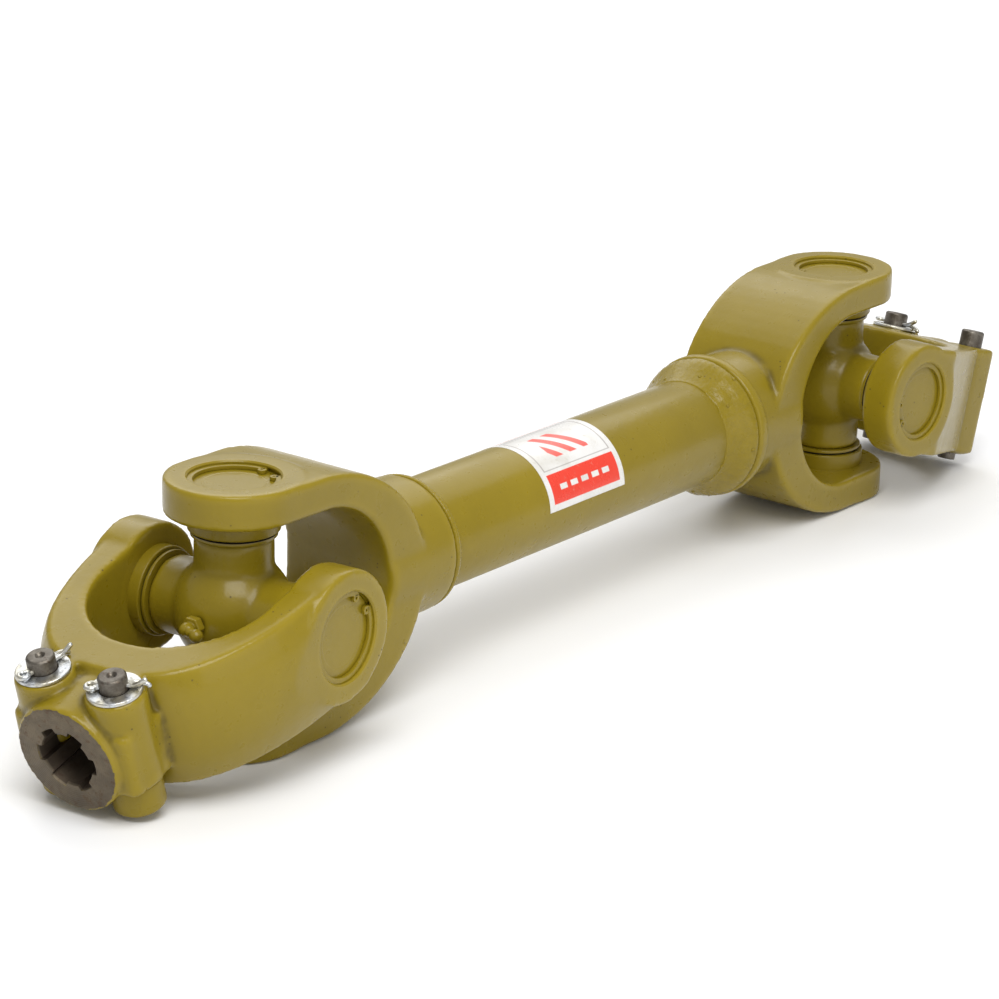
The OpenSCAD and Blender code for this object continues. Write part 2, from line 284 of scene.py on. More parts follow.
class PaintSettings(bpy.types.PropertyGroup):
    """Colours of the finishes"""
    paint: FloatVectorProperty(name="Paint", description="Olive-yellow enamel", subtype="COLOR",
                               default=(0.222, 0.161, 0.008), min=0, max=1)
    # The darker paint colour is painted shade, laid into the hollows
    hollow_shade_paint: FloatVectorProperty(name="Painted hollow shade", description="Enamel darkened in corners as painted shade",
                                    subtype="COLOR", default=(0.078, 0.055, 0.004), min=0, max=1)
    bare: FloatVectorProperty(name="Bare steel", description="Machined steel gone brown",
                              subtype="COLOR", default=(0.105, 0.085, 0.060), min=0, max=1)
    zinc: FloatVectorProperty(name="Zinc", description="Bright zinc plate", subtype="COLOR",
                              default=(0.56, 0.58, 0.60), min=0, max=1)
    band: FloatVectorProperty(name="Sticker band", description="Printed band of the sticker",
                              subtype="COLOR", default=(0.72, 0.045, 0.022), min=0, max=1)
    roughness: FloatProperty(name="Paint roughness", description="Roughness of the enamel",
                             default=0.27, min=0.05, max=1)
    sheen: FloatProperty(name="Paint reflection", description="Specular level of the enamel",
                         default=0.24, min=0, max=1)


class FastenerSettings(bpy.types.PropertyGroup):
    """Snap rings, pins, washers and split pins"""
    ring_gap: FloatProperty(name="Snap ring gap", description="Opening of a snap ring",
                            default=math.radians(34), subtype="ANGLE")
    wire_r: FloatProperty(name="Split pin wire", description="Radius of a split pin's leg",
                          default=1.3 * MM, unit="LENGTH")
    washer_edge: FloatProperty(name="Washer edge", description="Rounding of a washer's edge",
                               default=0.5 * MM, unit="LENGTH")


class WeldSettings(bpy.types.PropertyGroup):
    """Weld beads and spatter"""
    ripples: IntProperty(name="Ripples", description="Ripples round the near weld bead",
                         default=110, min=12, max=400)
    spatter: IntProperty(name="Spatter", description="Beads of spatter by the far weld",
                         default=70, min=0, max=2000)
    seed: IntProperty(name="Seed", description="Seed of the spatter", default=11)


class StageSettings(bpy.types.PropertyGroup):
    """Floor, lights and camera"""
    key_power: FloatProperty(name="Key light", description="Power of the key light",
                             default=34.0, min=0, unit="POWER")
    fill_power: FloatProperty(name="Fill light", description="Power of the fill light",
                              default=6.0, min=0, unit="POWER")
    back_power: FloatProperty(name="Backdrop light", description="Power of the light on the floor behind",
                              default=34.0, min=0, unit="POWER")
    sky: FloatProperty(name="Sky", description="Strength of the studio's surround",
                       default=0.50, min=0, max=10)
    lens: FloatProperty(name="Lens", description="Focal length", default=135.56, min=20, max=400)


# ---------------------------------------------------------------- shader expressions

class Field:
    """A shader value that takes part in sums, products and comparisons."""

    def __init__(self, finish, socket):
        self.finish = finish
        self.socket = socket

    def math(self, operation, *values):
        inputs = {index: value for index, value in enumerate(values)}
        return self.finish.add("ShaderNodeMath", {"operation": operation}, inputs)

    def __add__(self, other):
        return self.math("ADD", self, other)

    def __sub__(self, other):
        return self.math("SUBTRACT", self, other)

    def __rsub__(self, other):
        return self.math("SUBTRACT", other, self)

    def __mul__(self, other):
        return self.math("MULTIPLY", self, other)

    def __gt__(self, other):
        return self.math("GREATER_THAN", self, other)

    def __lt__(self, other):
        return self.math("LESS_THAN", self, other)

    def sine(self):
        return self.math("SINE", self)

    def largest(self, other):
        return self.math("MAXIMUM", self, other)

    def between(self, low, high):
        """Rises smoothly from 0 at low to 1 at high."""
        settings = {"interpolation_type": "SMOOTHSTEP", "clamp": True}
        inputs = {"Value": self, "From Min": low, "From Max": high}
        return self.finish.add("ShaderNodeMapRange", settings, inputs)

    def to(self, low, high):
        """Spreads 0 to 1 over another range."""
        return self * (high - low) + low


class Finish:
    """A node material that is being put together."""

    def __init__(self, name, **uniform):
        self.material = bpy.data.materials.new(name)
        self.material.use_nodes = True
        self.nodes = self.material.node_tree.nodes
        self.links = self.material.node_tree.links
        self.surface = self.nodes["Principled BSDF"]
        self.place = self.add("ShaderNodeTexCoord", out="Object")
        for socket, value in uniform.items():
            self.surface.inputs[socket.replace("_", " ").title()].default_value = value

    def add(self, kind, settings=None, inputs=None, out=0):
        node = self.nodes.new(kind)
        for key, value in (settings or {}).items():
            setattr(node, key, value)
        for key, value in (inputs or {}).items():
            if isinstance(value, Field):
                self.links.new(value.socket, node.inputs[key])
            else:
                node.inputs[key].default_value = value
        return Field(self, node.outputs[out])

    def noise(self, scale, detail=3.0, roughness=0.5):
        return self.add("ShaderNodeTexNoise", None, {
            "Vector": self.place, "Scale": scale, "Detail": detail, "Roughness": roughness})

    def cells(self, scale):
        return self.add("ShaderNodeTexVoronoi", None, {"Vector": self.place, "Scale": scale}, "Distance")

    def mix(self, share, *colours):
        """Goes from one colour to another; each is a Field or three numbers."""
        first, second = (value if isinstance(value, Field) else (*value, 1) for value in colours)
        return self.add("ShaderNodeMix", {"data_type": "RGBA"}, {0: share, 6: first, 7: second}, 2)

    def shade(self, colour, amount):
        """Multiplies a colour's brightness by a varying amount."""
        grey = self.add("ShaderNodeCombineXYZ", None, {0: amount, 1: amount, 2: amount})
        return self.add("ShaderNodeMix", {"data_type": "RGBA", "blend_type": "MULTIPLY"},
                        {0: 1.0, 6: colour, 7: grey}, 2)

    def vector(self, operation, first, second, out="Vector"):
        return self.add("ShaderNodeVectorMath", {"operation": operation}, {0: first, 1: second}, out)

    def attribute(self, name):
        return self.add("ShaderNodeAttribute", {"attribute_name": name}, out="Fac")

    def bump(self, height, distance=SKIN_HEIGHT, strength=SKIN_STRENGTH):
        return self.add("ShaderNodeBump", None,
                        {"Height": height, "Distance": distance, "Strength": strength})

    def set(self, socket, value):
        if isinstance(value, Field):
            self.links.new(value.socket, self.surface.inputs[socket])
        else:
            self.surface.inputs[socket].default_value = value

    def along(self, origin, axis):
        """Distance along an axis from a point, and distance away from that axis."""
        offset = self.vector("SUBTRACT", self.place, tuple(origin))
        depth = self.vector("DOT_PRODUCT", offset, tuple(axis), "Value")
        square = self.vector("DOT_PRODUCT", offset, offset, "Value")
        across = (square - depth * depth).largest(0.0)
        return depth, across.math("SQRT", across)


def settings():
    """The scene, which holds every group of settings."""
    return bpy.context.scene


def enamel(name):
    """A finish with the enamel's clear coat."""
    return Finish(name, coat_roughness=COAT_ROUGHNESS)


def paint_layers(finish):
    """Colour, roughness and height of the enamel over cast steel, with painted shade in hollows and a painted
    highlight on proud edges.
    """
    look = settings().shaft_paint
    broad = finish.noise(9.0, 4.0, 0.6)
    blotch = finish.noise(55.0, 4.0, 0.65)
    cavity = finish.attribute("cavity").between(0.05, 1.0)
    edge = finish.attribute("edge").between(0.15, 1.0)
    # Painted shade: hollows, from the cavity attribute, are darkened towards the shaded paint colour and mottled
    # by noise; the same mask also roughens them
    painted_hollow_shade = cavity * blotch.between(0.25, 0.6) * 0.85
    colour = finish.mix(painted_hollow_shade, tuple(look.paint), tuple(look.hollow_shade_paint))
    # Brightness varies at random, and proud edges are lightened as a painted highlight
    colour = finish.shade(colour, broad.to(0.82, 1.16) + blotch.to(-0.07, 0.07) + edge * 0.10)
    speck = finish.cells(260.0)
    chosen = finish.noise(38.0, 2.0).between(0.60, 0.66)
    grit = (1 - speck.between(0.10, 0.16)) * chosen
    colour = finish.mix(grit * 0.75, colour, GRIT)
    rough = finish.noise(140.0, 3.0).to(-0.05, 0.10) + look.roughness + painted_hollow_shade * 0.14 + grit * 0.3
    skin = finish.noise(520.0, 2.0) * 0.25 + finish.noise(190.0, 3.0, 0.6) * 0.75
    finish.set("Specular IOR Level", look.sheen)
    return colour, rough, skin


def make_paint():
    """Glossy olive-yellow enamel with orange peel, painted shade in corners, a painted highlight on edges, and
    trapped grit.
    """
    finish = enamel("olive_paint")
    colour, rough, skin = paint_layers(finish)
    finish.set("Base Color", colour)
    finish.set("Roughness", rough)
    finish.set("Coat Weight", COAT)
    finish.set("Normal", finish.bump(skin))
    return finish.material


def make_hub_paint(end):
    """Enamel with the hub's end face and splined bore left as brown machined steel."""
    look = settings().shaft_paint
    origin, axis = mount(end + "_bore")
    finish = enamel(end + "_hub_paint")
    colour, rough, skin = paint_layers(finish)
    depth, away = finish.along(origin, axis)
    ragged = finish.noise(420.0, 3.0).to(-RAGGED, RAGGED)
    on_face = (depth + ragged) > -FACE_BAND
    in_bore = ((away + ragged) < (SIZES["spline_" + end] + BORE_MARGIN)) * (depth > -BORE_REACH)
    bare = on_face.largest(in_bore)
    # Painted shade: more than 1.5 mm into the splined bore, the bare steel is darkened
    inside = (depth < (-1.5 * MM)) * in_bore
    turning = (away * 5200.0).sine().to(0.0, 1.0)
    stain = finish.noise(90.0, 5.0, 0.7)
    steel = finish.mix(stain.between(0.35, 0.7), tuple(look.bare), WORN_STEEL)
    rust = finish.noise(240.0, 4.0, 0.7).between(0.52, 0.68)
    steel = finish.mix(rust * 0.6, steel, HUB_RUST)
    steel = finish.mix(inside * 0.55, steel, BORE_PAINTED_SHADE)
    colour = finish.mix(bare, colour, steel)
    finish.set("Base Color", colour)
    finish.set("Metallic", bare * 0.75)
    finish.set("Roughness", rough + bare * (stain.to(0.14, 0.34) - rough * 0.1))
    finish.set("Coat Weight", (1 - bare) * COAT)
    height = skin * (1 - bare) + turning * bare * 0.12
    finish.set("Normal", finish.bump(height))
    return finish.material


def make_weld_paint():
    """Enamel over rough weld metal, with a painted highlight where the beads stand proud."""
    finish = Finish("weld_paint", coat_roughness=0.15)
    colour, rough, skin = paint_layers(finish)
    lumps = finish.noise(260.0, 4.0, 0.7)
    # Painted highlight and shade: lighter where the lumps stand proud, darker between them
    finish.set("Base Color", finish.shade(colour, lumps.to(0.85, 1.2)))
    finish.set("Roughness", rough - lumps.to(0.0, 0.08))
    finish.set("Coat Weight", COAT)
    finish.set("Normal", finish.bump(skin + lumps * 1.4, 0.5 * MM, 0.6))
    return finish.material


def make_pin_steel(end):
    """Dark oiled steel; the near pins' heads below their bosses are painted over."""
    placing = end_yoke_frame(end)
    finish = Finish(end + "_pin_steel")
    height, _ = finish.along(placing.translation, placing.col[2].to_3d())
    colour, rough, skin = paint_layers(finish)
    painted_below = 0.0 if end == "near" else -1.0
    painted = height < painted_below
    stain = finish.noise(160.0, 5.0, 0.7)
    steel = finish.mix(stain.between(0.35, 0.7), PIN_DARK, PIN_LIGHT)
    rust = finish.noise(330.0, 4.0, 0.7).between(0.55, 0.70)
    steel = finish.mix(rust * 0.7, steel, PIN_RUST)
    turning = (height * 9000.0).sine().to(0.0, 1.0)
    finish.set("Base Color", finish.mix(painted, steel, colour))
    finish.set("Metallic", (1 - painted) * 0.85)
    finish.set("Roughness", painted * rough + (1 - painted) * stain.to(0.28, 0.50))
    finish.set("Coat Weight", painted * COAT)
    relief = skin * painted + (1 - painted) * (turning * 0.10 + stain * 0.3)
    finish.set("Normal", finish.bump(relief, 0.3 * MM, 0.6))
    return finish.material


def make_zinc():
    """Bright zinc plate with a faint blue and straw tint, scuffs and a fine grain."""
    look = settings().shaft_paint
    finish = Finish("zinc")
    tint = finish.noise(130.0, 3.0)
    scuff = finish.noise(620.0, 5.0, 0.75)
    colour = finish.mix(tint.between(0.35, 0.65), tuple(look.zinc), ZINC_STRAW)
    colour = finish.shade(colour, scuff.to(0.75, 1.12))
    dull = finish.noise(300.0, 4.0).between(0.55, 0.70)
    finish.set("Base Color", finish.mix(dull * 0.6, colour, ZINC_DULL))
    finish.set("Metallic", 0.95 - dull * 0.5)
    finish.set("Roughness", scuff.to(0.18, 0.42) + dull * 0.2)
    finish.set("Normal", finish.bump(scuff, 0.12 * MM, 0.5))
    return finish.material


def make_bearing_steel():
    """Ground needle rollers with a film of grease."""
    finish = Finish("bearing_steel")
    grain = finish.noise(900.0, 4.0, 0.7)
    film = finish.noise(120.0, 3.0).between(0.5, 0.7)
    colour = finish.mix(film * 0.5, GROUND_STEEL, GREASE)
    finish.set("Base Color", finish.shade(colour, grain.to(0.85, 1.1)))
    finish.set("Metallic", 1.0 - film * 0.4)
    finish.set("Roughness", grain.to(0.12, 0.30))
    finish.set("Normal", finish.bump(grain, 0.05 * MM, 0.4))
    return finish.material


def make_seal_finish():
    """Paint on the seal's back and dark rubber at its lip."""
    finish = enamel("seal_paint")
    colour, rough, skin = paint_layers(finish)
    lip = finish.attribute("lip")
    dust = finish.noise(180.0, 5.0, 0.7)
    dark = finish.mix(dust.between(0.4, 0.75), RUBBER, RUBBER_DUST)
    finish.set("Base Color", finish.mix(lip, colour, dark))
    finish.set("Roughness", rough + lip * 0.3)
    finish.set("Coat Weight", (1 - lip) * 0.35)
    finish.set("Normal", finish.bump(skin))
    return finish.material


def make_sticker_print():
    """Plain printed vinyl: a white ground, a red band and a framed panel, with no lettering."""
    look = settings().shaft_paint
    finish = Finish("sticker_print")
    coordinates = finish.add("ShaderNodeUVMap", {"uv_map": "UVMap"})
    split = finish.add("ShaderNodeSeparateXYZ", None, {0: coordinates})
    u = split
    v = Field(finish, split.socket.node.outputs[1])
    soft = 0.004

    def inside(value, low, high):
        return value.between(low - soft, low + soft) * (1 - value.between(high - soft, high + soft))

    def block(left, right, low, high):
        return inside(u, left, right) * inside(v, low, high)

    band = block(0.06, 0.94, 0.055, 0.30)
    notch = 0
    for centre in (0.22, 0.36, 0.50, 0.64, 0.78):
        notch = block(centre - 0.045, centre + 0.045, 0.155, 0.200) + notch
    frame_line = block(0.06, 0.94, 0.33, 0.80) - block(0.075, 0.925, 0.338, 0.790)
    slant = u + v * 0.9
    chevrons = 0
    for centre in (0.74, 0.92, 1.10):
        chevrons = inside(slant, centre - 0.045, centre + 0.045) + chevrons
    chevrons = chevrons * block(0.26, 0.74, 0.42, 0.70)
    rule = block(0.06, 0.94, 0.822, 0.834)
    faded = block(0.06, 0.94, 0.86, 0.965)
    lines = 0
    for low in (0.875, 0.905, 0.935):
        lines = block(0.10, 0.90, low, low + 0.010) + lines
    age = finish.noise(60.0, 4.0, 0.6)
    white = finish.mix(age.between(0.3, 0.8), VINYL, VINYL_AGED)
    colour = finish.mix(band * (1 - notch), white, tuple(look.band))
    colour = finish.mix(frame_line * 0.75, colour, FRAME_INK)
    colour = finish.mix(chevrons * 0.9, colour, tuple(look.band))
    colour = finish.mix(rule * 0.9, colour, RULE_INK)
    colour = finish.mix(faded * 0.35, colour, PANEL_INK)
    colour = finish.mix(lines * 0.35, colour, LINE_INK)
    scuff = finish.noise(240.0, 5.0, 0.75).between(0.58, 0.72)
    finish.set("Base Color", finish.mix(scuff * 0.35, colour, VINYL_SCUFF))
    finish.set("Roughness", age.to(0.20, 0.36) + scuff * 0.2)
    finish.set("Normal", finish.bump(finish.noise(90.0, 3.0), 0.25 * MM, 0.5))
    return finish.material


def make_floor_finish():
    """Plain pale studio floor."""
    finish = Finish("pale_floor")
    tone = finish.noise(3.0, 3.0)
    finish.set("Base Color", finish.mix(tone, FLOOR_DARK, FLOOR_LIGHT))
    finish.set("Roughness", 0.75)
    return finish.material


MAKERS = {
    "paint": make_paint,
    "near_hub_paint": lambda: make_hub_paint("near"),
    "far_hub_paint": lambda: make_hub_paint("far"),
    "weld_paint": make_weld_paint,
    "near_pin_steel": lambda: make_pin_steel("near"),
    "far_pin_steel": lambda: make_pin_steel("far"),
    "zinc": make_zinc,
    "bearing_steel": make_bearing_steel,
    "seal": make_seal_finish,
    "sticker": make_sticker_print,
    "floor": make_floor_finish,
}
MADE = {}


def material(name):
    """A finish by name, made when it is first used."""
    if name not in MADE:
        MADE[name] = MAKERS[name]()
    return MADE[name]


# ---------------------------------------------------------------- mesh helpers

def linked(name, data):
    """A new object in the scene around a mesh, light or camera."""
    thing = bpy.data.objects.new(name, data)
    bpy.context.scene.collection.objects.link(thing)
    return thing


def discard(thing):
    mesh = thing.data
    bpy.data.objects.remove(thing)
    bpy.data.meshes.remove(mesh)


@contextmanager
def editing(mesh):
    """Opens a mesh for editing, and writes the result back into it."""
    work = bmesh.new()
    work.from_mesh(mesh)
    yield work
    work.to_mesh(mesh)
    work.free()


def object_from(name, points, faces):
    mesh = bpy.data.meshes.new(name)
    mesh.from_pydata([tuple(p) for p in points], [], faces)
    mesh.update()
    return linked(name, mesh)


def face_outwards(mesh):
    with editing(mesh) as work:
        bmesh.ops.remove_doubles(work, verts=work.verts, dist=WELD_DISTANCE)
        bmesh.ops.recalc_face_normals(work, faces=work.faces)
    mesh.update()


def bands(rings, count, closed=False, capped=False):
    """Faces that join each ring of points to the next, with caps on the first and last if asked."""
    faces = []
    for ring in range(rings if closed else rings - 1):
        after = (ring + 1) % rings
        for k in range(count):
            turn = (k + 1) % count
            faces.append((ring * count + k, ring * count + turn,
                          after * count + turn, after * count + k))
    if capped:
        faces.append(tuple(range(count)))
        faces.append(tuple(range((rings - 1) * count, rings * count)))
    return faces


def smooth_shading(mesh, angle=38):
    mesh.shade_smooth()
    mesh.set_sharp_from_angle(angle=math.radians(angle))


def finished(thing, finish, body, replaces=()):
    """Gives a piece its finish and body, and hides the CAD nodes that it stands for."""
    thing.data.materials.clear()
    thing.data.materials.append(material(finish))
    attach(thing, body)
    if replaces:
        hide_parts(*replaces)
    return thing


def filleted(corners, radius, steps=5, closed=True):
    """Rounds the corners of an outline of (r, z) points; each corner may name its own radius."""
    points = []
    count = len(corners)
    for index, corner in enumerate(corners):
        here = Vector(corner[:2])
        size = corner[2] if len(corner) > 2 else radius
        if size == 0 or (not closed and index in (0, count - 1)):
            points.append(here)
            continue
        before = Vector(corners[index - 1][:2]) - here
        after = Vector(corners[(index + 1) % count][:2]) - here
        size = min(size, 0.45 * before.length, 0.45 * after.length)
        start = here + before.normalized() * size
        end = here + after.normalized() * size
        for step in range(steps + 1):
            t = step / steps
            points.append(start * (1 - t) ** 2 + here * 2 * t * (1 - t) + end * t * t)
    return points


def lathe(name, outline, placing, segments=96, closed=True, wobble=None):
    """Turns an outline of (r, z) points about the placed Z axis into a closed skin."""
    points = []
    for r, z in outline:
        for k in range(segments):
            angle = 2 * math.pi * k / segments
            reach = r + (wobble(angle, r, z) if wobble and r > 1e-9 else 0)
            points.append(placing @ Vector((reach * math.cos(angle), reach * math.sin(angle), z)))
    thing = object_from(name, points, bands(len(outline), segments, closed))
    face_outwards(thing.data)
    with editing(thing.data) as work:
        bmesh.ops.dissolve_degenerate(work, edges=work.edges, dist=1e-8)
        bmesh.ops.recalc_face_normals(work, faces=work.faces)
    smooth_shading(thing.data)
    return thing


def sweep(name, path, radius, segments=14):
    """A round wire along a path of points, with domed ends."""
    path = [Vector(p) for p in path]
    tangents = []
    for index in range(len(path)):
        before = path[max(index - 1, 0)]
        after = path[min(index + 1, len(path) - 1)]
        tangents.append((after - before).normalized())
    side = tangents[0].orthogonal().normalized()
    points = []
    dome = ((-1.0, 0.02), (-0.7, 0.71), (0.0, 1.0))
    last = len(path) - 1
    stations = [(path[0] + tangents[0] * radius * back, share, 0) for back, share in dome]
    stations += [(path[k], 1.0, k) for k in range(1, last)]
    stations += [(path[last] - tangents[last] * radius * back, share, last)
                 for back, share in reversed(dome)]
    for place, share, index in stations:
        tangent = tangents[index]
        side = (side - tangent * side.dot(tangent)).normalized()
        other = tangent.cross(side)
        for k in range(segments):
            angle = 2 * math.pi * k / segments
            points.append(place + (side * math.cos(angle) + other * math.sin(angle)) * radius * share)
    thing = object_from(name, points, bands(len(stations), segments, capped=True))
    face_outwards(thing.data)
    smooth_shading(thing.data, 60)
    return thing


def joined(name, things):
    """Joins separate closed skins into one piece."""
    work = bmesh.new()
    for thing in things:
        work.from_mesh(thing.data)
    mesh = bpy.data.meshes.new(name)
    work.to_mesh(mesh)
    work.free()
    for thing in things:
        discard(thing)
    return linked(name, mesh)


def applied(thing):
    """Bakes a piece's modifiers into its mesh."""
    bpy.context.view_layer.update()
    ready = thing.evaluated_get(bpy.context.evaluated_depsgraph_get())
    mesh = bpy.data.meshes.new_from_object(ready)
    old = thing.data
    thing.modifiers.clear()
    thing.data = mesh
    bpy.data.meshes.remove(old)
    return thing


def voxels(thing, size):
    remesh = thing.modifiers.new("voxels", "REMESH")
    remesh.mode = "VOXEL"
    remesh.voxel_size = size
    remesh.use_smooth_shade = True
    return applied(thing)


def cut(thing, cutters):
    """Machines a casting with closed cutting shapes."""
    for cutter in cutters:
        boolean = thing.modifiers.new("cut", "BOOLEAN")
        boolean.operation = "DIFFERENCE"
        boolean.solver = "MANIFOLD"
        boolean.object = cutter
    applied(thing)
    for cutter in cutters:
        discard(cutter)


def neighbours(mesh):
    """Pairs of joined points, both ways round, and how many each point has."""
    pairs = np.zeros(len(mesh.edges) * 2, np.int64)
    mesh.edges.foreach_get("vertices", pairs)
    pairs = pairs.reshape(-1, 2)
    count = np.bincount(pairs.ravel(), minlength=len(mesh.vertices)).astype(float)
    return pairs, np.maximum(count, 1)


def averaged(values, pairs, count):
    total = np.zeros_like(values)
    for axis in range(values.shape[1]):
        total[:, axis] = np.bincount(pairs[:, 0], values[pairs[:, 1], axis], len(values))
        total[:, axis] += np.bincount(pairs[:, 1], values[pairs[:, 0], axis], len(values))
    return total / count[:, None]


def mesh_points(mesh):
    points = np.zeros(len(mesh.vertices) * 3)
    mesh.vertices.foreach_get("co", points)
    return points.reshape(-1, 3)


def set_points(mesh, points):
    mesh.vertices.foreach_set("co", points.astype(np.float32).ravel())
    mesh.update()


def softened(values, links, passes, pull):
    """Moves each point's values towards its neighbours' mean, several times."""
    for _ in range(passes):
        values = values + pull * (averaged(values, *links) - values)
    return values


def relax(thing, passes):
    """Rounds edges and corners."""
    mesh = thing.data
    set_points(mesh, softened(mesh_points(mesh), neighbours(mesh), passes, 0.5))


def mesh_normals(mesh):
    normals = np.zeros(len(mesh.vertices) * 3, np.float32)
    mesh.vertices.foreach_get("normal", normals)
    return normals.reshape(-1, 3).astype(float)


def wavy(thing, depth, seed):
    """Gives a casting its slightly uneven skin, from a few crossed waves."""
    random = np.random.default_rng(seed)
    points = mesh_points(thing.data)
    height = np.zeros(len(points))
    for _ in range(WAVES):
        direction = random.normal(size=3)
        direction /= np.linalg.norm(direction)
        length = random.uniform(*WAVE_LENGTHS) * MM
        height += np.sin(points @ direction * 2 * math.pi / length + random.uniform(0, 6.28)) / WAVE_SUM
    set_points(thing.data, points + mesh_normals(thing.data) * (height * depth)[:, None])


def mark_form(thing, passes=26, reach=0.55 * MM):
    """Stores how hollow and how proud each point is, for the painted shade in hollows and the painted highlight on
    proud edges.
    """
    mesh = thing.data
    links = neighbours(mesh)
    points = mesh_points(mesh)
    shift = softened(points, links, passes, 0.6) - points
    lift = np.einsum("ij,ij->i", shift, mesh_normals(mesh))[:, None]
    for _ in range(3):
        lift = averaged(lift, *links)
    lift = lift[:, 0] / reach
    for name, values in (("cavity", lift), ("edge", -lift)):
        layer = mesh.attributes.new(name, "FLOAT", "POINT")
        layer.data.foreach_set("value", np.clip(values, 0, 1).astype(np.float32))


def merged_copy(node, name):
    """A welded copy of a CAD node's loose triangles."""
    thing = linked(name, frame["nodes"][node].data.copy())
    with editing(thing.data) as work:
        bmesh.ops.remove_doubles(work, verts=work.verts, dist=2e-6)
    return thing


def rod(name, r, low, high, placing, segments=128, chamfer=0.0):
    """A plain closed cylinder for plugs and cutters, with a flared mouth where it is chamfered."""
    outline = [(0, low), (r, low), (r, high), (0, high)]
    if chamfer:
        beyond = high + 10 * MM
        outline[2:] = [(r, high - chamfer), (r + chamfer, high), (r + chamfer, beyond), (0, beyond)]
    return lathe(name, outline, placing, segments)


def spline_cutter(end, placing):
    """Six-slot cutter for a splined bore, with a flared mouth."""
    major = SIZES["spline_" + end]
    minor = major * SPLINE_MINOR
    half_slot = math.asin(SPLINE_SLOT)
    lip = math.asin(SPLINE_SLOT * major / minor)
    hub_end = SIZES[end + "_hub_end"]
    outline = []
    for slot in range(6):
        middle = math.radians(60 * slot)
        for angle in np.linspace(-half_slot, half_slot, 7):
            outline.append((major * math.cos(middle + angle), major * math.sin(middle + angle)))
        for angle in np.linspace(lip, math.radians(60) - lip, 7):
            outline.append((minor * math.cos(middle + angle), minor * math.sin(middle + angle)))
    stations = ((-65 * MM, 1.0), (-hub_end + 1.2 * MM, 1.0), (-hub_end - 1.0 * MM, SPLINE_FLARE),
                (-hub_end - 12 * MM, SPLINE_FLARE))
    points = [placing @ Vector((x, y * grow, z * grow)) for x, grow in stations for y, z in outline]
    cutter = object_from("spline_cutter", points, bands(len(stations), len(outline), capped=True))
    face_outwards(cutter.data)
    return cutter


# ---------------------------------------------------------------- geometry node trees

class Tree:
    """A geometry node group with named inputs, ending in Realize Instances and Set Material."""

    def __init__(self, name, inputs):
        self.group = bpy.data.node_groups.new(name, "GeometryNodeTree")
        self.sockets = {}
        interface = self.group.interface
        interface.new_socket("Geometry", in_out="INPUT", socket_type="NodeSocketGeometry")
        for label, kind, value in inputs:
            socket = interface.new_socket(label, in_out="INPUT", socket_type="NodeSocket" + kind)
            socket.default_value = value
            self.sockets[label] = socket
        interface.new_socket("Geometry", in_out="OUTPUT", socket_type="NodeSocketGeometry")
        self.entry = self.group.nodes.new("NodeGroupInput")

    def __getitem__(self, label):
        return self.entry.outputs[label]

    def add(self, kind, settings=None, inputs=None, out=0):
        node = self.group.nodes.new(kind)
        for key, value in (settings or {}).items():
            setattr(node, key, value)
        for key, value in (inputs or {}).items():
            if isinstance(value, bpy.types.NodeSocket):
                self.group.links.new(value, node.inputs[key])
            else:
                node.inputs[key].default_value = value
        return node.outputs[out]

    def math(self, operation, first, second):
        return self.add("ShaderNodeMath", {"operation": operation}, {0: first, 1: second})

    def finish(self, geometry, finish):
        real = self.add("GeometryNodeRealizeInstances", None, {"Geometry": geometry})
        dressed = self.add("GeometryNodeSetMaterial", None,
                           {"Geometry": real, "Material": material(finish)})
        leave = self.group.nodes.new("NodeGroupOutput")
        self.group.links.new(dressed, leave.inputs[0])
        return self

    def run(self, name, values, placing=None, base=None):
        """Runs the tree on a base mesh and returns a plain mesh object placed in the row frame."""
        thing = linked(name, base.data.copy() if base else bpy.data.meshes.new(name))
        modifier = thing.modifiers.new("maker", "NODES")
        modifier.node_group = self.group
        for label, value in values.items():
            modifier[self.sockets[label].identifier] = value
        applied(thing)
        if placing is not None:
            thing.data.transform(placing)
        return thing


def swept_ring_tree(name, finish):
    """A rectangle with rounded corners, swept round an arc about the Z axis."""
    tree = Tree(name, [("Radius", "Float", 0.02), ("Sweep", "Float", 6.0), ("Turn", "Float", 0.0),
                       ("Width", "Float", 0.004), ("Height", "Float", 0.002),
                       ("Corner", "Float", 0.0003), ("Segments", "Int", 96)])
    arc = tree.add("GeometryNodeCurveArc", {"mode": "RADIUS"}, {
        "Resolution": tree["Segments"], "Radius": tree["Radius"],
        "Start Angle": tree["Turn"], "Sweep Angle": tree["Sweep"]})
    box = tree.add("GeometryNodeCurvePrimitiveQuadrilateral", {"mode": "RECTANGLE"},
                   {"Width": tree["Width"], "Height": tree["Height"]})
    round_box = tree.add("GeometryNodeFilletCurve", {"mode": "POLY"},
                         {"Curve": box, "Count": 3, "Radius": tree["Corner"]})
    body = tree.add("GeometryNodeCurveToMesh", None,
                    {"Curve": arc, "Profile Curve": round_box, "Fill Caps": True})
    return tree.finish(body, finish)


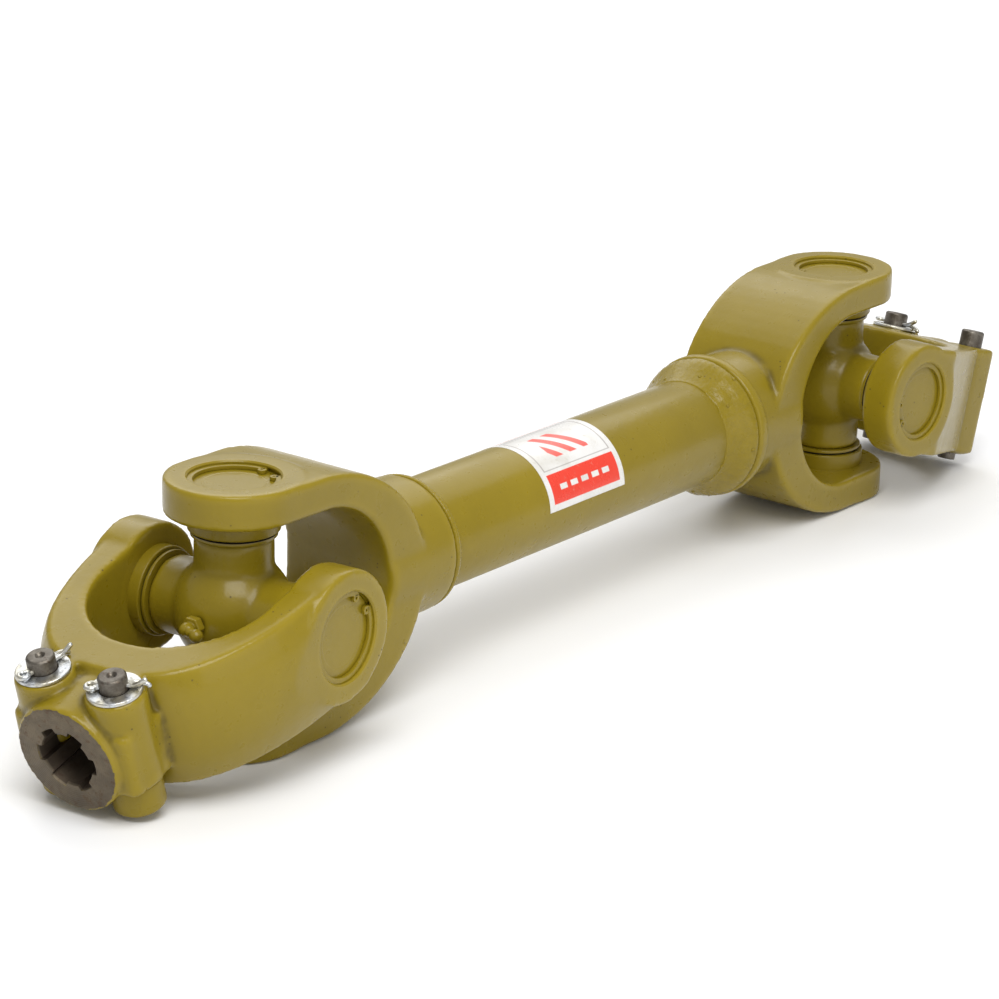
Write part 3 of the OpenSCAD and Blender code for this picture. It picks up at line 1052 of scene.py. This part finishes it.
def tube_tree():
    """A tube along +X: its wall's outline swept round a full circle."""
    tree = Tree("tube_maker", [("Radius", "Float", 0.03), ("Wall", "Float", 0.004),
                               ("Start", "Float", 0.0), ("End", "Float", 0.3), ("Segments", "Int", 192)])
    middle = tree.math("SUBTRACT", tree["Radius"], tree.math("MULTIPLY", tree["Wall"], 0.5))
    long = tree.math("SUBTRACT", tree["End"], tree["Start"])
    ring = tree.add("GeometryNodeCurvePrimitiveCircle", {"mode": "RADIUS"},
                    {"Resolution": tree["Segments"], "Radius": middle})
    wall = tree.add("GeometryNodeCurvePrimitiveQuadrilateral", {"mode": "RECTANGLE"},
                    {"Width": tree["Wall"], "Height": long})
    edge = tree.add("GeometryNodeFilletCurve", {"mode": "POLY"},
                    {"Curve": wall, "Count": 3, "Radius": 0.4 * MM})
    skin = tree.add("GeometryNodeCurveToMesh", None, {"Curve": ring, "Profile Curve": edge})
    half = tree.math("MULTIPLY", tree.math("ADD", tree["Start"], tree["End"]), 0.5)
    shift = tree.add("ShaderNodeCombineXYZ", None, {"X": half})
    turned = tree.add("GeometryNodeTransform", None,
                      {"Geometry": skin, "Translation": shift, "Rotation": (0, math.pi / 2, 0)})
    return tree.finish(turned, "paint")


def spatter_tree():
    """Small flattened beads thrown over a skin, each with its own size and turn."""
    tree = Tree("spatter_maker", [("Amount", "Float", 20000.0), ("Smallest", "Float", 0.0003),
                                  ("Largest", "Float", 0.0012), ("Seed", "Int", 11)])
    points = tree.group.nodes.new("GeometryNodeDistributePointsOnFaces")
    points.distribute_method = "RANDOM"
    links = tree.group.links
    links.new(tree["Geometry"], points.inputs["Mesh"])
    links.new(tree["Amount"], points.inputs["Density"])
    links.new(tree["Seed"], points.inputs["Seed"])
    bead = tree.add("GeometryNodeMeshIcoSphere", None, {"Radius": 1.0, "Subdivisions": 2})
    flat = tree.add("GeometryNodeTransform", None, {"Geometry": bead, "Scale": (1.0, 1.0, 0.62)})
    soft = tree.add("GeometryNodeSetShadeSmooth", None, {"Geometry": flat, "Shade Smooth": True})
    size = tree.add("FunctionNodeRandomValue", {"data_type": "FLOAT"},
                    {2: tree["Smallest"], 3: tree["Largest"], "Seed": tree["Seed"]}, 1)
    beads = tree.add("GeometryNodeInstanceOnPoints", None, {
        "Points": points.outputs["Points"], "Instance": soft,
        "Rotation": points.outputs["Rotation"], "Scale": size})
    return tree.finish(beads, "weld_paint")


# ---------------------------------------------------------------- castings

def bore_cutters(end, seat, face):
    """Bearing bore with a chamfered mouth, and the groove for its snap ring."""
    placing = seat_frame(end, seat)
    inner, outer = SIZES["cup_r"] - MM, SIZES["ring_r"] + CLEARANCE
    low, high = SIZES["cup_end"], SIZES["ring_end"] + 0.05 * MM
    groove = [(inner, low), (outer, low), (outer, high), (inner, high)]
    return [rod("bore", SIZES["cup_r"] + CLEARANCE, 30 * MM, face, placing, 160, 0.9 * MM),
            lathe("groove", groove, placing, 128)]


def ear_works(end, seats, inner):
    """Plugs that fill a yoke's two ears before rounding, and the cutters that bore them again."""
    face = SIZES["ear_reach"]
    plugs, cutters = [], []
    for seat in seats:
        plugs.append(rod("plug", SIZES["ring_r"] + 0.8 * MM, inner + SUNK, face - SUNK,
                         seat_frame(end, seat), 64))
        cutters += bore_cutters(end, seat, face)
    return plugs, cutters


def cast_from(node, name, plugs, cutters, seed, more_passes=0):
    """Rebuilds a CAD part as a casting: plugged, rounded, given an uneven skin, then machined."""
    look = settings().shaft_castings
    copy = merged_copy(node, "copy_of_" + node)
    whole = voxels(joined(name, [copy] + plugs), look.voxel)
    relax(whole, look.passes + more_passes)
    wavy(whole, look.waviness, seed)
    cut(whole, cutters)
    mark_form(whole)
    smooth_shading(whole.data, 34)
    return whole


def make_tube_yoke(end, seed):
    """A yoke with two bored ears and a socket for the tube."""
    plugs, cutters = ear_works(end, TUBE_SEATS, TUBE_EAR_INNER)
    along = tube_yoke_frame(end) @ Matrix.Rotation(math.pi / 2, 4, "Y")
    socket, mouth, r = SIZES["tube_start"], SIZES["neck_end"], SIZES["tube_r"]
    plugs.append(rod("plug", r + MM, socket - MM, mouth - SUNK, along, 64))
    cutters.append(rod("socket", r + CLEARANCE, socket, mouth + 3 * MM, along, 160))
    node = end + "_tube_yoke"
    whole = cast_from(node, end + "_tube_yoke_casting", plugs, cutters, seed)
    finished(whole, "paint", TUBE_BODY, [node])


def make_end_yoke(end, seed):
    """A yoke with two bored ears, a splined hub, and seats for its locking pins."""
    placing = end_yoke_frame(end)
    plugs, cutters = ear_works(end, YOKE_SEATS, END_EAR_INNER)
    outward = placing @ Matrix.Rotation(-math.pi / 2, 4, "Y")
    hub_end = SIZES[end + "_hub_end"]
    plugs.append(rod("plug", SIZES["spline_" + end] + 3 * MM, GAP_BASE + MM, hub_end - SUNK, outward, 64))
    cutters.append(rod("facing", 60 * MM, hub_end - 0.25 * MM, hub_end + 20 * MM, outward, 64))
    block_low = SIZES[end + "_block_low"]
    seat_z = SIZES[end + "_washer_low"]
    for side in (-1, 1):
        upright = pin_frame(end, side)
        plugs.append(rod("plug", 11.5 * MM, block_low + SUNK, seat_z - SUNK, upright, 48))
        cutters.append(rod("pin_hole", PIN_R + HOLE_CLEARANCE, block_low - 9 * MM, seat_z + 2 * MM,
                           upright, 64))
        cutters.append(rod("spot_face", SPOT_R, seat_z - 0.05 * MM, seat_z + 30 * MM, upright, 96))
        head_low, head_top = block_low - 30 * MM, block_low
        if end == "far":
            head_low, head_top = block_low - 9 * MM, block_low + FAR_HEAD + HOLE_CLEARANCE
        cutters.append(rod("head_seat", SIZES[end + "_pin_head_r"] + HEAD_CLEARANCE, head_low, head_top,
                           upright, 64))
    cutters.append(spline_cutter(end, placing))
    node = end + "_end_yoke"
    whole = cast_from(node, end + "_end_yoke_casting", plugs, cutters, seed)
    finished(whole, end + "_hub_paint", end_body(end), [node])


def make_cross(end, seed):
    """A cross, forged and so rounded further than the castings."""
    node = end + "_cross"
    whole = cast_from(node, end + "_cross_forging", [], [], seed, 10)
    finished(whole, "paint", cross_body(end), [node])


# ---------------------------------------------------------------- bearings

def make_cup(end, seat):
    """A needle cup with a rounded rim and a shallow pressed ring in its closed end."""
    start, stop, r = SIZES["cup_start"], SIZES["cup_end"], SIZES["cup_r"]
    bore, floor = r - CUP_WALL, stop - CUP_FLOOR
    outline = filleted([
        (0, floor, 0), (bore, floor, 0.6 * MM), (bore, start, 0.4 * MM), (r, start, 0.9 * MM),
        (r, stop, 1.1 * MM), (0.70 * r, stop, 0.3 * MM), (0.68 * r, stop - 0.12 * MM, 0.3 * MM),
        (0, stop - 0.12 * MM, 0)], 0, 5, False)
    node = "_".join((end, "cup", seat))
    thing = lathe(node + "_shell", outline, seat_frame(end, seat), 112, False)
    finished(thing, "paint", seat_body(end, seat), [node])


def make_seal(end, seat):
    """A seal with paint on its back and a dark open lip next to the cup."""
    stop = SIZES["cup_start"]
    start = stop - 3.0 * MM
    inner, outer = SIZES["cup_r"] - 8.02 * MM, SIZES["cup_r"] - 1.5 * MM
    outline = filleted([
        (inner, start), (outer, start), (outer, stop - 1.1 * MM), (outer - 1.3 * MM, stop - 0.9 * MM),
        (outer - 1.3 * MM, stop), (inner, stop)], 0.35 * MM, 3)
    node = "_".join((end, "seal", seat))
    placing = seat_frame(end, seat)
    thing = lathe(node + "_ring", outline, placing, 96)
    inverse = placing.inverted()
    lip = [1.0 if (inverse @ v.co).z > stop - 1.25 * MM else 0.0 for v in thing.data.vertices]
    layer = thing.data.attributes.new("lip", "FLOAT", "POINT")
    layer.data.foreach_set("value", lip)
    finished(thing, "seal", seat_body(end, seat), [node])


def make_snap_ring(tree, end, seat):
    """An inside snap ring with two drilled lugs at its gap."""
    gap = settings().shaft_fasteners.ring_gap
    inner = SIZES["cup_r"] - 2.9 * MM
    outer = SIZES["ring_r"] - 0.1 * MM
    thick = SIZES["ring_end"] - SIZES["cup_end"] - 0.1 * MM
    middle = (SIZES["ring_end"] + SIZES["cup_end"]) / 2
    turn = RING_TURN[seat]
    node = "_".join((end, "snap_ring", seat))
    placing = seat_frame(end, seat) @ Matrix.Translation((0, 0, middle))
    ring = tree.run(node + "_arc", {
        "Radius": (inner + outer) / 2, "Sweep": 2 * math.pi - gap, "Turn": turn + gap / 2,
        "Width": outer - inner, "Height": thick, "Corner": 0.35 * MM, "Segments": 120}, placing)
    lug_hole, lug_r, lug_at, half = 0.8 * MM, 2.4 * MM, inner - 0.4 * MM, thick / 2
    outline = filleted([(lug_hole, -half), (lug_r, -half), (lug_r, half), (lug_hole, half)], 0.3 * MM, 3)
    lugs = []
    for side in (-1, 1):
        angle = turn + side * (gap / 2 + 0.02)
        at = Matrix.Translation((lug_at * math.cos(angle), lug_at * math.sin(angle), 0))
        lugs.append(lathe("lug", outline, placing @ at, 28))
    thing = joined(node + "_spring", [ring] + lugs)
    smooth_shading(thing.data)
    finished(thing, "paint", seat_body(end, seat), [node])


def dress_needles(end, seat):
    """The rollers are ground steel and hidden in their cup, so the CAD rollers stay."""
    node = frame["nodes"]["_".join((end, "needles", seat))]
    node.data.materials.clear()
    node.data.materials.append(material("bearing_steel"))


# ---------------------------------------------------------------- fasteners

def make_locking_pin(end, seat):
    """A turned pin with a bevelled, centre-drilled top and its head at the foot of the boss."""
    low, top = SIZES[end + "_pin_low"], SIZES[end + "_pin_top"]
    head_r = SIZES[end + "_pin_head_r"]
    block_low = SIZES[end + "_block_low"]
    if end == "near":
        head_top = block_low - 0.1 * MM
        foot = [(0, low, 0), (head_r, low, 2.2 * MM), (head_r, head_top, 0.8 * MM)]
    else:
        head_top = block_low + FAR_HEAD
        foot = [(0, low, 0), (FAR_TIP_R, low, 0.8 * MM), (FAR_TIP_R, block_low, 0.4 * MM),
                (head_r, block_low, 0.9 * MM), (head_r, head_top, 0.5 * MM)]
    foot.append((PIN_R, head_top, 0.5 * MM))
    crown = [(PIN_R, top - 0.9 * MM, 0.5 * MM), (PIN_R - 1.0 * MM, top, 0.5 * MM),
             (PIN_R - 4.6 * MM, top, 0.4 * MM), (PIN_R - 5.9 * MM, top - 1.3 * MM, 0.5 * MM),
             (0, top - 1.5 * MM, 0)]
    placing = pin_frame(end, side_of(end, seat))
    node = "_".join((end, "locking_pin", seat))
    thing = lathe(node + "_turned", filleted(foot + crown, 0, 5, False), placing, 72, False)
    finished(thing, end + "_pin_steel", end_body(end), [node])


def make_washer(end, seat):
    """A stamped washer: rounded on top, with a slight burr below."""
    low, top, r = SIZES[end + "_washer_low"], SIZES[end + "_washer_top"], SIZES["washer_r"]
    edge = settings().shaft_fasteners.washer_edge
    hole = PIN_R + 0.4 * MM
    foot = low + CLEARANCE
    outline = filleted([(hole, foot, 0.2 * MM), (r, foot, 0.2 * MM), (r, top, edge * 1.6),
                        (hole, top, edge)], 0, 5)
    placing = pin_frame(end, side_of(end, seat))
    node = "_".join((end, "washer", seat))

    def dished(angle, reach, z):
        return 0.05 * MM * math.sin(3 * angle + 1)

    thing = lathe(node + "_stamping", outline, placing, 96, True, dished)
    finished(thing, "zinc", end_body(end), [node])


def make_split_pin(end, seat):
    """One wire bent into an eye, its two legs through the pin and their tips spread."""
    wire = settings().shaft_fasteners.wire_r
    straight, eye = 9.4 * MM, 2.5 * MM
    beside = 0.92 * wire
    left = [(straight + 7.4 * MM, 1.6 * MM, -2.6 * MM), (straight + 5.8 * MM, 1.8 * MM, -1.6 * MM),
            (straight + 3.4 * MM, 1.7 * MM, -0.6 * MM), (straight + 1.2 * MM, 1.3 * MM, 0),
            (straight - 1.0 * MM, beside, 0), (0, beside, 0), (1.5 * MM - straight, beside, 0)]
    centre = -straight - 1.8 * MM
    loop = []
    for step in range(17):
        angle = math.radians(40 + 280 * step / 16)
        loop.append((centre + eye * math.cos(angle), eye * math.sin(angle), 0))
    right = [(1.5 * MM - straight, -beside, 0), (0, -beside, 0), (straight - 1.0 * MM, -beside, 0),
             (straight + 1.2 * MM, -1.4 * MM, 0.2 * MM), (straight + 4.2 * MM, -2.2 * MM, 1.6 * MM),
             (straight + 7.0 * MM, -2.6 * MM, 3.4 * MM)]
    placing = pin_frame(end, side_of(end, seat), SIZES[end + "_washer_top"] + 1.9 * MM)
    placing = placing @ Matrix.Rotation(math.radians(SPLIT_TURN[end + "_" + seat]), 4, "Z")
    path = [placing @ Vector(p) for p in curve_through(left + loop + right, 5)]
    node = "_".join((end, "split_pin", seat))
    thing = sweep(node + "_wire", path, wire, 14)
    finished(thing, "zinc", end_body(end), [node])


def curve_through(points, steps):
    """A smooth curve through points, as in a bent wire."""
    points = [Vector(p) for p in points]
    ends = [points[0] * 2 - points[1]] + points + [points[-1] * 2 - points[-2]]
    curve = []
    for k in range(1, len(ends) - 2):
        a, b, c, d = ends[k - 1:k + 3]
        for step in range(steps):
            t = step / steps
            curve.append(0.5 * ((2 * b) + (c - a) * t + (2 * a - 5 * b + 4 * c - d) * t * t
                                + (3 * b - a - 3 * c + d) * t ** 3))
    return curve + [points[-1]]


def hexagon(name, across, low, high, placing):
    """A hexagon with turned-off corners."""
    stations = ((low, 0.93), (low + 0.5 * MM, 1.0), (high - 0.5 * MM, 1.0), (high, 0.93))
    points = []
    for z, share in stations:
        reach = across * share
        for k in range(6):
            angle = math.radians(60 * k + 30)
            points.append(placing @ Vector((reach * math.cos(angle), reach * math.sin(angle), z)))
    thing = object_from(name, points, bands(len(stations), 6, capped=True))
    face_outwards(thing.data)
    return thing


def make_nipple(end):
    """An elbow grease nipple, thick with paint: hexagon, bend and ball head."""
    node = end + "_grease_nipple"
    stem = cross_frame(end) @ Matrix.Rotation(-math.pi / 2, 4, "Y")
    low, _ = local_box(node, stem)
    base = CROSS_R
    bend = stem @ Matrix.Translation((0, 0, base + 8 * MM))
    head = bend @ Matrix.Rotation(math.radians(65 if end == "near" else -65), 4, "X")
    dome = [(3.9 * MM * math.sin(a), 3.9 * MM * math.cos(a)) for a in np.linspace(math.pi, 0, 13)]
    pieces = [
        rod("stem", 3.05 * MM, low[2], base + 3 * MM, stem, 32),
        hexagon("hexagon", 5.9 * MM, base + 0.2 * MM, base + 5.2 * MM, stem),
        rod("throat", 3.3 * MM, base + 4 * MM, base + 8 * MM, stem, 32),
        lathe("elbow", [(max(r, 0), z) for r, z in dome], bend, 32, False),
        lathe("head", filleted([(0, 0, 0), (2.9 * MM, 0, 0), (2.9 * MM, 4.6 * MM, 0.5 * MM),
                                (2.1 * MM, 6.2 * MM, 0.5 * MM), (2.3 * MM, 7.6 * MM, 0.4 * MM),
                                (3.6 * MM, 9.0 * MM, 0.8 * MM), (3.5 * MM, 12.0 * MM, 1.2 * MM),
                                (1.5 * MM, 13.8 * MM, 0.5 * MM), (0, 13.8 * MM, 0)], 0, 4, False),
              head, 32, False)]
    thing = voxels(joined(node + "_painted", pieces), 0.32 * MM)
    relax(thing, 4)
    mark_form(thing, 14, 0.25 * MM)
    smooth_shading(thing.data, 50)
    finished(thing, "paint", cross_body(end), [node])


# ---------------------------------------------------------------- tube, welds and sticker

def make_tube():
    """The welded tube, a wall's outline swept round a circle."""
    thing = tube_tree().run("shaft_tube_steel", {
        "Radius": SIZES["tube_r"], "Wall": TUBE_WALL, "Start": SIZES["tube_start"],
        "End": SIZES["tube_end"], "Segments": 192}, tube_yoke_frame("near"))
    face_outwards(thing.data)
    smooth_shading(thing.data)
    finished(thing, "paint", TUBE_BODY, ["shaft_tube"])


def ripple(count, depth, seed):
    """A function that gives the uneven ripples of a hand-laid weld bead."""
    random = np.random.default_rng(seed)
    phases = random.uniform(0, 6.28, 6)

    def offset(angle, r, z):
        slow = sum(math.sin((k + 2) * angle + phases[k]) for k in range(5)) / 5
        fast = abs(math.sin(count * angle / 2 + 1.3 * slow))
        return depth * (0.75 * fast + 0.9 * slow)

    return offset


def weld_frame(end):
    """Local +Z runs along the tube from the mouth of a yoke's neck."""
    mouth = tube_yoke_frame(end) @ Matrix.Translation((SIZES["neck_end"], 0, 0))
    return mouth @ Matrix.Rotation(math.pi / 2, 4, "Y")


def make_near_weld():
    """A neat bead round the tube, as wide as the near neck, with a fine seam between them."""
    look = settings().shaft_welds
    r = SIZES["tube_r"]
    shape = [(-0.5, 0.1), (4.4, 0.1), (5.5, 0.7), (5.8, 1.9), (5.2, 3.6), (3.9, 5.0), (2.2, 5.9),
             (0.5, 6.3), (-0.5, 6.3)]
    arc = filleted([(r + a * MM, z * MM) for a, z in shape], 0.6 * MM, 3)
    placing = weld_frame("near")
    bead = ripple(look.ripples, 0.22 * MM, 3)
    thing = lathe("near_weld_bead", arc, placing, 440, True,
                  lambda angle, reach, z: bead(angle, reach, z) if reach > r + 0.3 * MM else 0)
    finished(thing, "weld_paint", TUBE_BODY, ["near_weld"])


def make_far_weld():
    """The broad built-up collar at the far neck, with lumps and thrown spatter."""
    look = settings().shaft_welds
    r = SIZES["tube_r"]
    shape = [(-0.8, 0.1), (8.2, 0.1), (9.3, 0.9), (9.6, 2.6), (8.9, 5.0), (7.9, 7.2), (6.4, 9.6),
             (4.9, 11.8), (3.5, 14.0), (2.1, 16.4), (1.0, 18.4), (0.2, 20.4), (-0.8, 20.8)]
    outline = filleted([(r + a * MM, z * MM) for a, z in shape], 0.9 * MM, 3)
    bead = ripple(60, 0.28 * MM, 8)
    random = np.random.default_rng(5)
    lumps = [(random.uniform(0, 6.28), random.uniform(0, 20) * MM, random.uniform(2.0, 5.0) * MM,
              random.uniform(-0.3, 0.5) * MM) for _ in range(70)]

    def rough(angle, reach, z):
        if reach < r + 0.2 * MM:
            return 0
        rise = bead(angle, reach, z) * (0.35 + 0.65 * math.exp(-((z - 4 * MM) / (4 * MM)) ** 2))
        for turn, along, wide, high in lumps:
            swing = (angle - turn + math.pi) % (2 * math.pi) - math.pi
            gap = ((swing * reach) ** 2 + (z - along) ** 2) / wide ** 2
            if gap < 6:
                rise += high * math.exp(-gap)
        return rise

    thing = lathe("far_weld_collar", outline, weld_frame("far"), 320, True, rough)
    mark_form(thing, 10, 0.5 * MM)
    finished(thing, "weld_paint", TUBE_BODY, ["far_weld"])
    area = sum(face.area for face in thing.data.polygons)
    beads = spatter_tree().run("far_weld_spatter", {
        "Amount": look.spatter / area, "Smallest": 0.35 * MM, "Largest": 1.3 * MM,
        "Seed": look.seed}, None, thing)
    finished(beads, "weld_paint", TUBE_BODY)


def make_sticker():
    """A thin sheet of printed vinyl round the tube, with its print on a UV map."""
    placing = tube_yoke_frame("near")
    inner, outer = SIZES["tube_r"] + CLEARANCE, SIZES["sticker_r"]
    low, high = local_box("sticker", placing)
    start = math.asin(low[2] / outer)
    stop = math.pi - math.acos(high[1] / outer)
    left, width = SIZES["sticker_start"], SIZES["sticker_end"] - SIZES["sticker_start"]
    across, around = 44, 96
    work = bmesh.new()
    uv = work.loops.layers.uv.new("UVMap")
    grids = []
    for reach in (inner, outer):
        rows = []
        for j in range(around + 1):
            angle = start + (stop - start) * j / around
            row = []
            for i in range(across + 1):
                x = left + width * i / across
                lift = 0.05 * MM * math.sin(9 * i / across + 5 * j / around) if reach == outer else 0
                point = Vector((x, -(reach + lift) * math.cos(angle), (reach + lift) * math.sin(angle)))
                row.append(work.verts.new(placing @ point))
            rows.append(row)
        grids.append(rows)

    def face(corners, steps):
        made = work.faces.new(corners)
        for loop, (i, j) in zip(made.loops, steps):
            loop[uv].uv = (i / across, j / around)

    for rows in grids:
        for j in range(around):
            for i in range(across):
                steps = [(i, j), (i + 1, j), (i + 1, j + 1), (i, j + 1)]
                face([rows[b][a] for a, b in steps], steps)
    inside, outside = grids
    for i in range(across):
        for j in (0, around):
            face([inside[j][i], inside[j][i + 1], outside[j][i + 1], outside[j][i]], [(i, j)] * 4)
    for j in range(around):
        for i in (0, across):
            face([inside[j][i], inside[j + 1][i], outside[j + 1][i], outside[j][i]], [(i, j)] * 4)
    bmesh.ops.recalc_face_normals(work, faces=work.faces)
    mesh = bpy.data.meshes.new("sticker_vinyl")
    work.to_mesh(mesh)
    work.free()
    thing = linked("sticker_vinyl", mesh)
    smooth_shading(mesh, 50)
    finished(thing, "sticker", TUBE_BODY, ["sticker"])


# ---------------------------------------------------------------- stage

def area_light(name, place, target, size, power):
    data = bpy.data.lights.new(name, "AREA")
    data.shape = "RECTANGLE"
    data.size, data.size_y = size
    data.energy = power
    lamp = linked(name, data)
    lamp.location = place
    lamp.rotation_euler = (target - place).to_track_quat("-Z", "Y").to_euler()


def make_floor(low):
    """A large flat pale floor under the lowest point."""
    size = FLOOR_HALF
    points = [(-size, -size, low), (size, -size, low), (size, size, low), (-size, size, low)]
    floor = object_from("studio_floor", points, [(0, 1, 2, 3)])
    floor.data.materials.append(material("floor"))
    floor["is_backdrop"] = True


def make_camera(centre):
    """A three-quarter view from above, with the near end to the left."""
    look = settings().shaft_stage
    turn, dip, roll = (math.radians(angle) for angle in CAMERA_ANGLES)
    forward = Vector((math.cos(dip) * math.cos(turn), math.cos(dip) * math.sin(turn), -math.sin(dip)))
    right = forward.cross(UP).normalized()
    down = forward.cross(right)
    tilted_right = right * math.cos(roll) + down * math.sin(roll)
    tilted_down = down * math.cos(roll) - right * math.sin(roll)
    data = bpy.data.cameras.new("camera")
    data.lens = look.lens
    data.sensor_width = 36
    data.shift_y = CAMERA_SHIFT
    data.clip_end = 50
    camera = linked("camera", data)
    camera.matrix_world = placed(tilted_right, -tilted_down, -forward, centre + Vector(CAMERA_OFFSET))
    bpy.context.scene.camera = camera


def make_lights(centre):
    look = settings().shaft_stage
    area_light("key", centre + Vector((-0.9, -0.7, 1.7)), centre, (1.3, 1.3), look.key_power)
    area_light("fill", centre + Vector((-0.4, -1.9, 0.5)), centre, (1.6, 1.0), look.fill_power)
    behind = centre + Vector((1.3, 1.0, -0.1))
    area_light("backdrop", behind + Vector((0.1, 0.1, 1.8)), behind, (2.6, 2.6), look.back_power)
    area_light("rim", centre + Vector((0.9, 1.5, 1.1)), centre, (1.4, 0.9), look.fill_power * 0.5)
    world = bpy.data.worlds.new("studio")
    world.use_nodes = True
    ground = world.node_tree.nodes["Background"]
    ground.inputs["Color"].default_value = (1.0, 1.0, 1.0, 1)
    ground.inputs["Strength"].default_value = look.sky
    bpy.context.scene.world = world
    bpy.context.scene.view_settings.view_transform = "Standard"


# ---------------------------------------------------------------- operators

class Maker:
    """What all the operators share."""
    bl_options = {"REGISTER", "UNDO"}


class SHAFT_OT_tube(Maker, bpy.types.Operator):
    """Makes the welded tube"""
    bl_idname = "shaft.tube"
    bl_label = "Tube"

    def execute(self, context):
        make_tube()
        return {"FINISHED"}


class SHAFT_OT_tube_yokes(Maker, bpy.types.Operator):
    """Casts the two yokes that are welded to the tube"""
    bl_idname = "shaft.tube_yokes"
    bl_label = "Tube yokes"

    def execute(self, context):
        for seed, end in enumerate(ENDS):
            make_tube_yoke(end, 20 + seed)
        return {"FINISHED"}


class SHAFT_OT_end_yokes(Maker, bpy.types.Operator):
    """Casts the two yokes with splined hubs"""
    bl_idname = "shaft.end_yokes"
    bl_label = "End yokes"

    def execute(self, context):
        for seed, end in enumerate(ENDS):
            make_end_yoke(end, 30 + seed)
        return {"FINISHED"}


class SHAFT_OT_crosses(Maker, bpy.types.Operator):
    """Forges the two crosses and fits their grease nipples"""
    bl_idname = "shaft.crosses"
    bl_label = "Crosses"

    def execute(self, context):
        for seed, end in enumerate(ENDS):
            make_cross(end, 40 + seed)
            make_nipple(end)
        return {"FINISHED"}


class SHAFT_OT_bearings(Maker, bpy.types.Operator):
    """Makes the needle cups and their seals, and gives their rollers a finish"""
    bl_idname = "shaft.bearings"
    bl_label = "Bearings"

    def execute(self, context):
        for end in ENDS:
            for seat in SEATS:
                make_cup(end, seat)
                make_seal(end, seat)
                dress_needles(end, seat)
        return {"FINISHED"}


class SHAFT_OT_snap_rings(Maker, bpy.types.Operator):
    """Makes the snap rings that hold the cups"""
    bl_idname = "shaft.snap_rings"
    bl_label = "Snap rings"

    def execute(self, context):
        tree = swept_ring_tree("snap_ring_maker", "paint")
        for end in ENDS:
            for seat in SEATS:
                make_snap_ring(tree, end, seat)
        return {"FINISHED"}


class SHAFT_OT_fasteners(Maker, bpy.types.Operator):
    """Makes the locking pins, washers and split pins"""
    bl_idname = "shaft.fasteners"
    bl_label = "Fasteners"

    def execute(self, context):
        for end in ENDS:
            for seat in YOKE_SEATS:
                make_locking_pin(end, seat)
                if "_".join((end, "washer", seat)) in frame["nodes"]:
                    make_washer(end, seat)
                    make_split_pin(end, seat)
        return {"FINISHED"}


class SHAFT_OT_welds(Maker, bpy.types.Operator):
    """Lays the weld beads and throws the spatter"""
    bl_idname = "shaft.welds"
    bl_label = "Welds"

    def execute(self, context):
        make_near_weld()
        make_far_weld()
        return {"FINISHED"}


class SHAFT_OT_sticker(Maker, bpy.types.Operator):
    """Wraps the plain printed sticker round the tube"""
    bl_idname = "shaft.sticker"
    bl_label = "Sticker"

    def execute(self, context):
        make_sticker()
        return {"FINISHED"}


class SHAFT_OT_stage(Maker, bpy.types.Operator):
    """Sets the floor, lights and camera"""
    bl_idname = "shaft.stage"
    bl_label = "Stage"

    def execute(self, context):
        centre = (joint_centre("near") + joint_centre("far")) / 2
        make_floor(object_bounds()[0][2])
        make_camera(centre)
        make_lights(centre)
        return {"FINISHED"}


MAKING = (SHAFT_OT_tube, SHAFT_OT_tube_yokes, SHAFT_OT_end_yokes, SHAFT_OT_crosses, SHAFT_OT_bearings,
          SHAFT_OT_snap_rings, SHAFT_OT_fasteners, SHAFT_OT_welds, SHAFT_OT_sticker, SHAFT_OT_stage)


class SHAFT_PT_panel(bpy.types.Panel):
    """Lists the makers and their settings"""
    bl_idname = "SHAFT_PT_panel"
    bl_label = "Universal joint shaft"
    bl_space_type = "VIEW_3D"
    bl_region_type = "UI"
    bl_category = "Joint shaft"

    def draw(self, context):
        for maker in MAKING:
            self.layout.operator(maker.bl_idname)
        for name, kind in GROUPS.items():
            box = self.layout.box()
            box.label(text=kind.__doc__)
            for key in kind.__annotations__:
                box.prop(getattr(context.scene, name), key)


GROUPS = {
    "shaft_castings": CastingSettings,
    "shaft_paint": PaintSettings,
    "shaft_fasteners": FastenerSettings,
    "shaft_welds": WeldSettings,
    "shaft_stage": StageSettings,
}


def register():
    for kind in tuple(GROUPS.values()) + MAKING + (SHAFT_PT_panel,):
        bpy.utils.register_class(kind)
    for name, kind in GROUPS.items():
        setattr(bpy.types.Scene, name, PointerProperty(type=kind))


def unregister():
    for name in GROUPS:
        delattr(bpy.types.Scene, name)
    for kind in reversed(tuple(GROUPS.values()) + MAKING + (SHAFT_PT_panel,)):
        bpy.utils.unregister_class(kind)


def main():
    register()
    for maker in MAKING:
        group, name = maker.bl_idname.split(".")
        getattr(getattr(bpy.ops, group), name)()


if __name__ == "__main__":
    main()
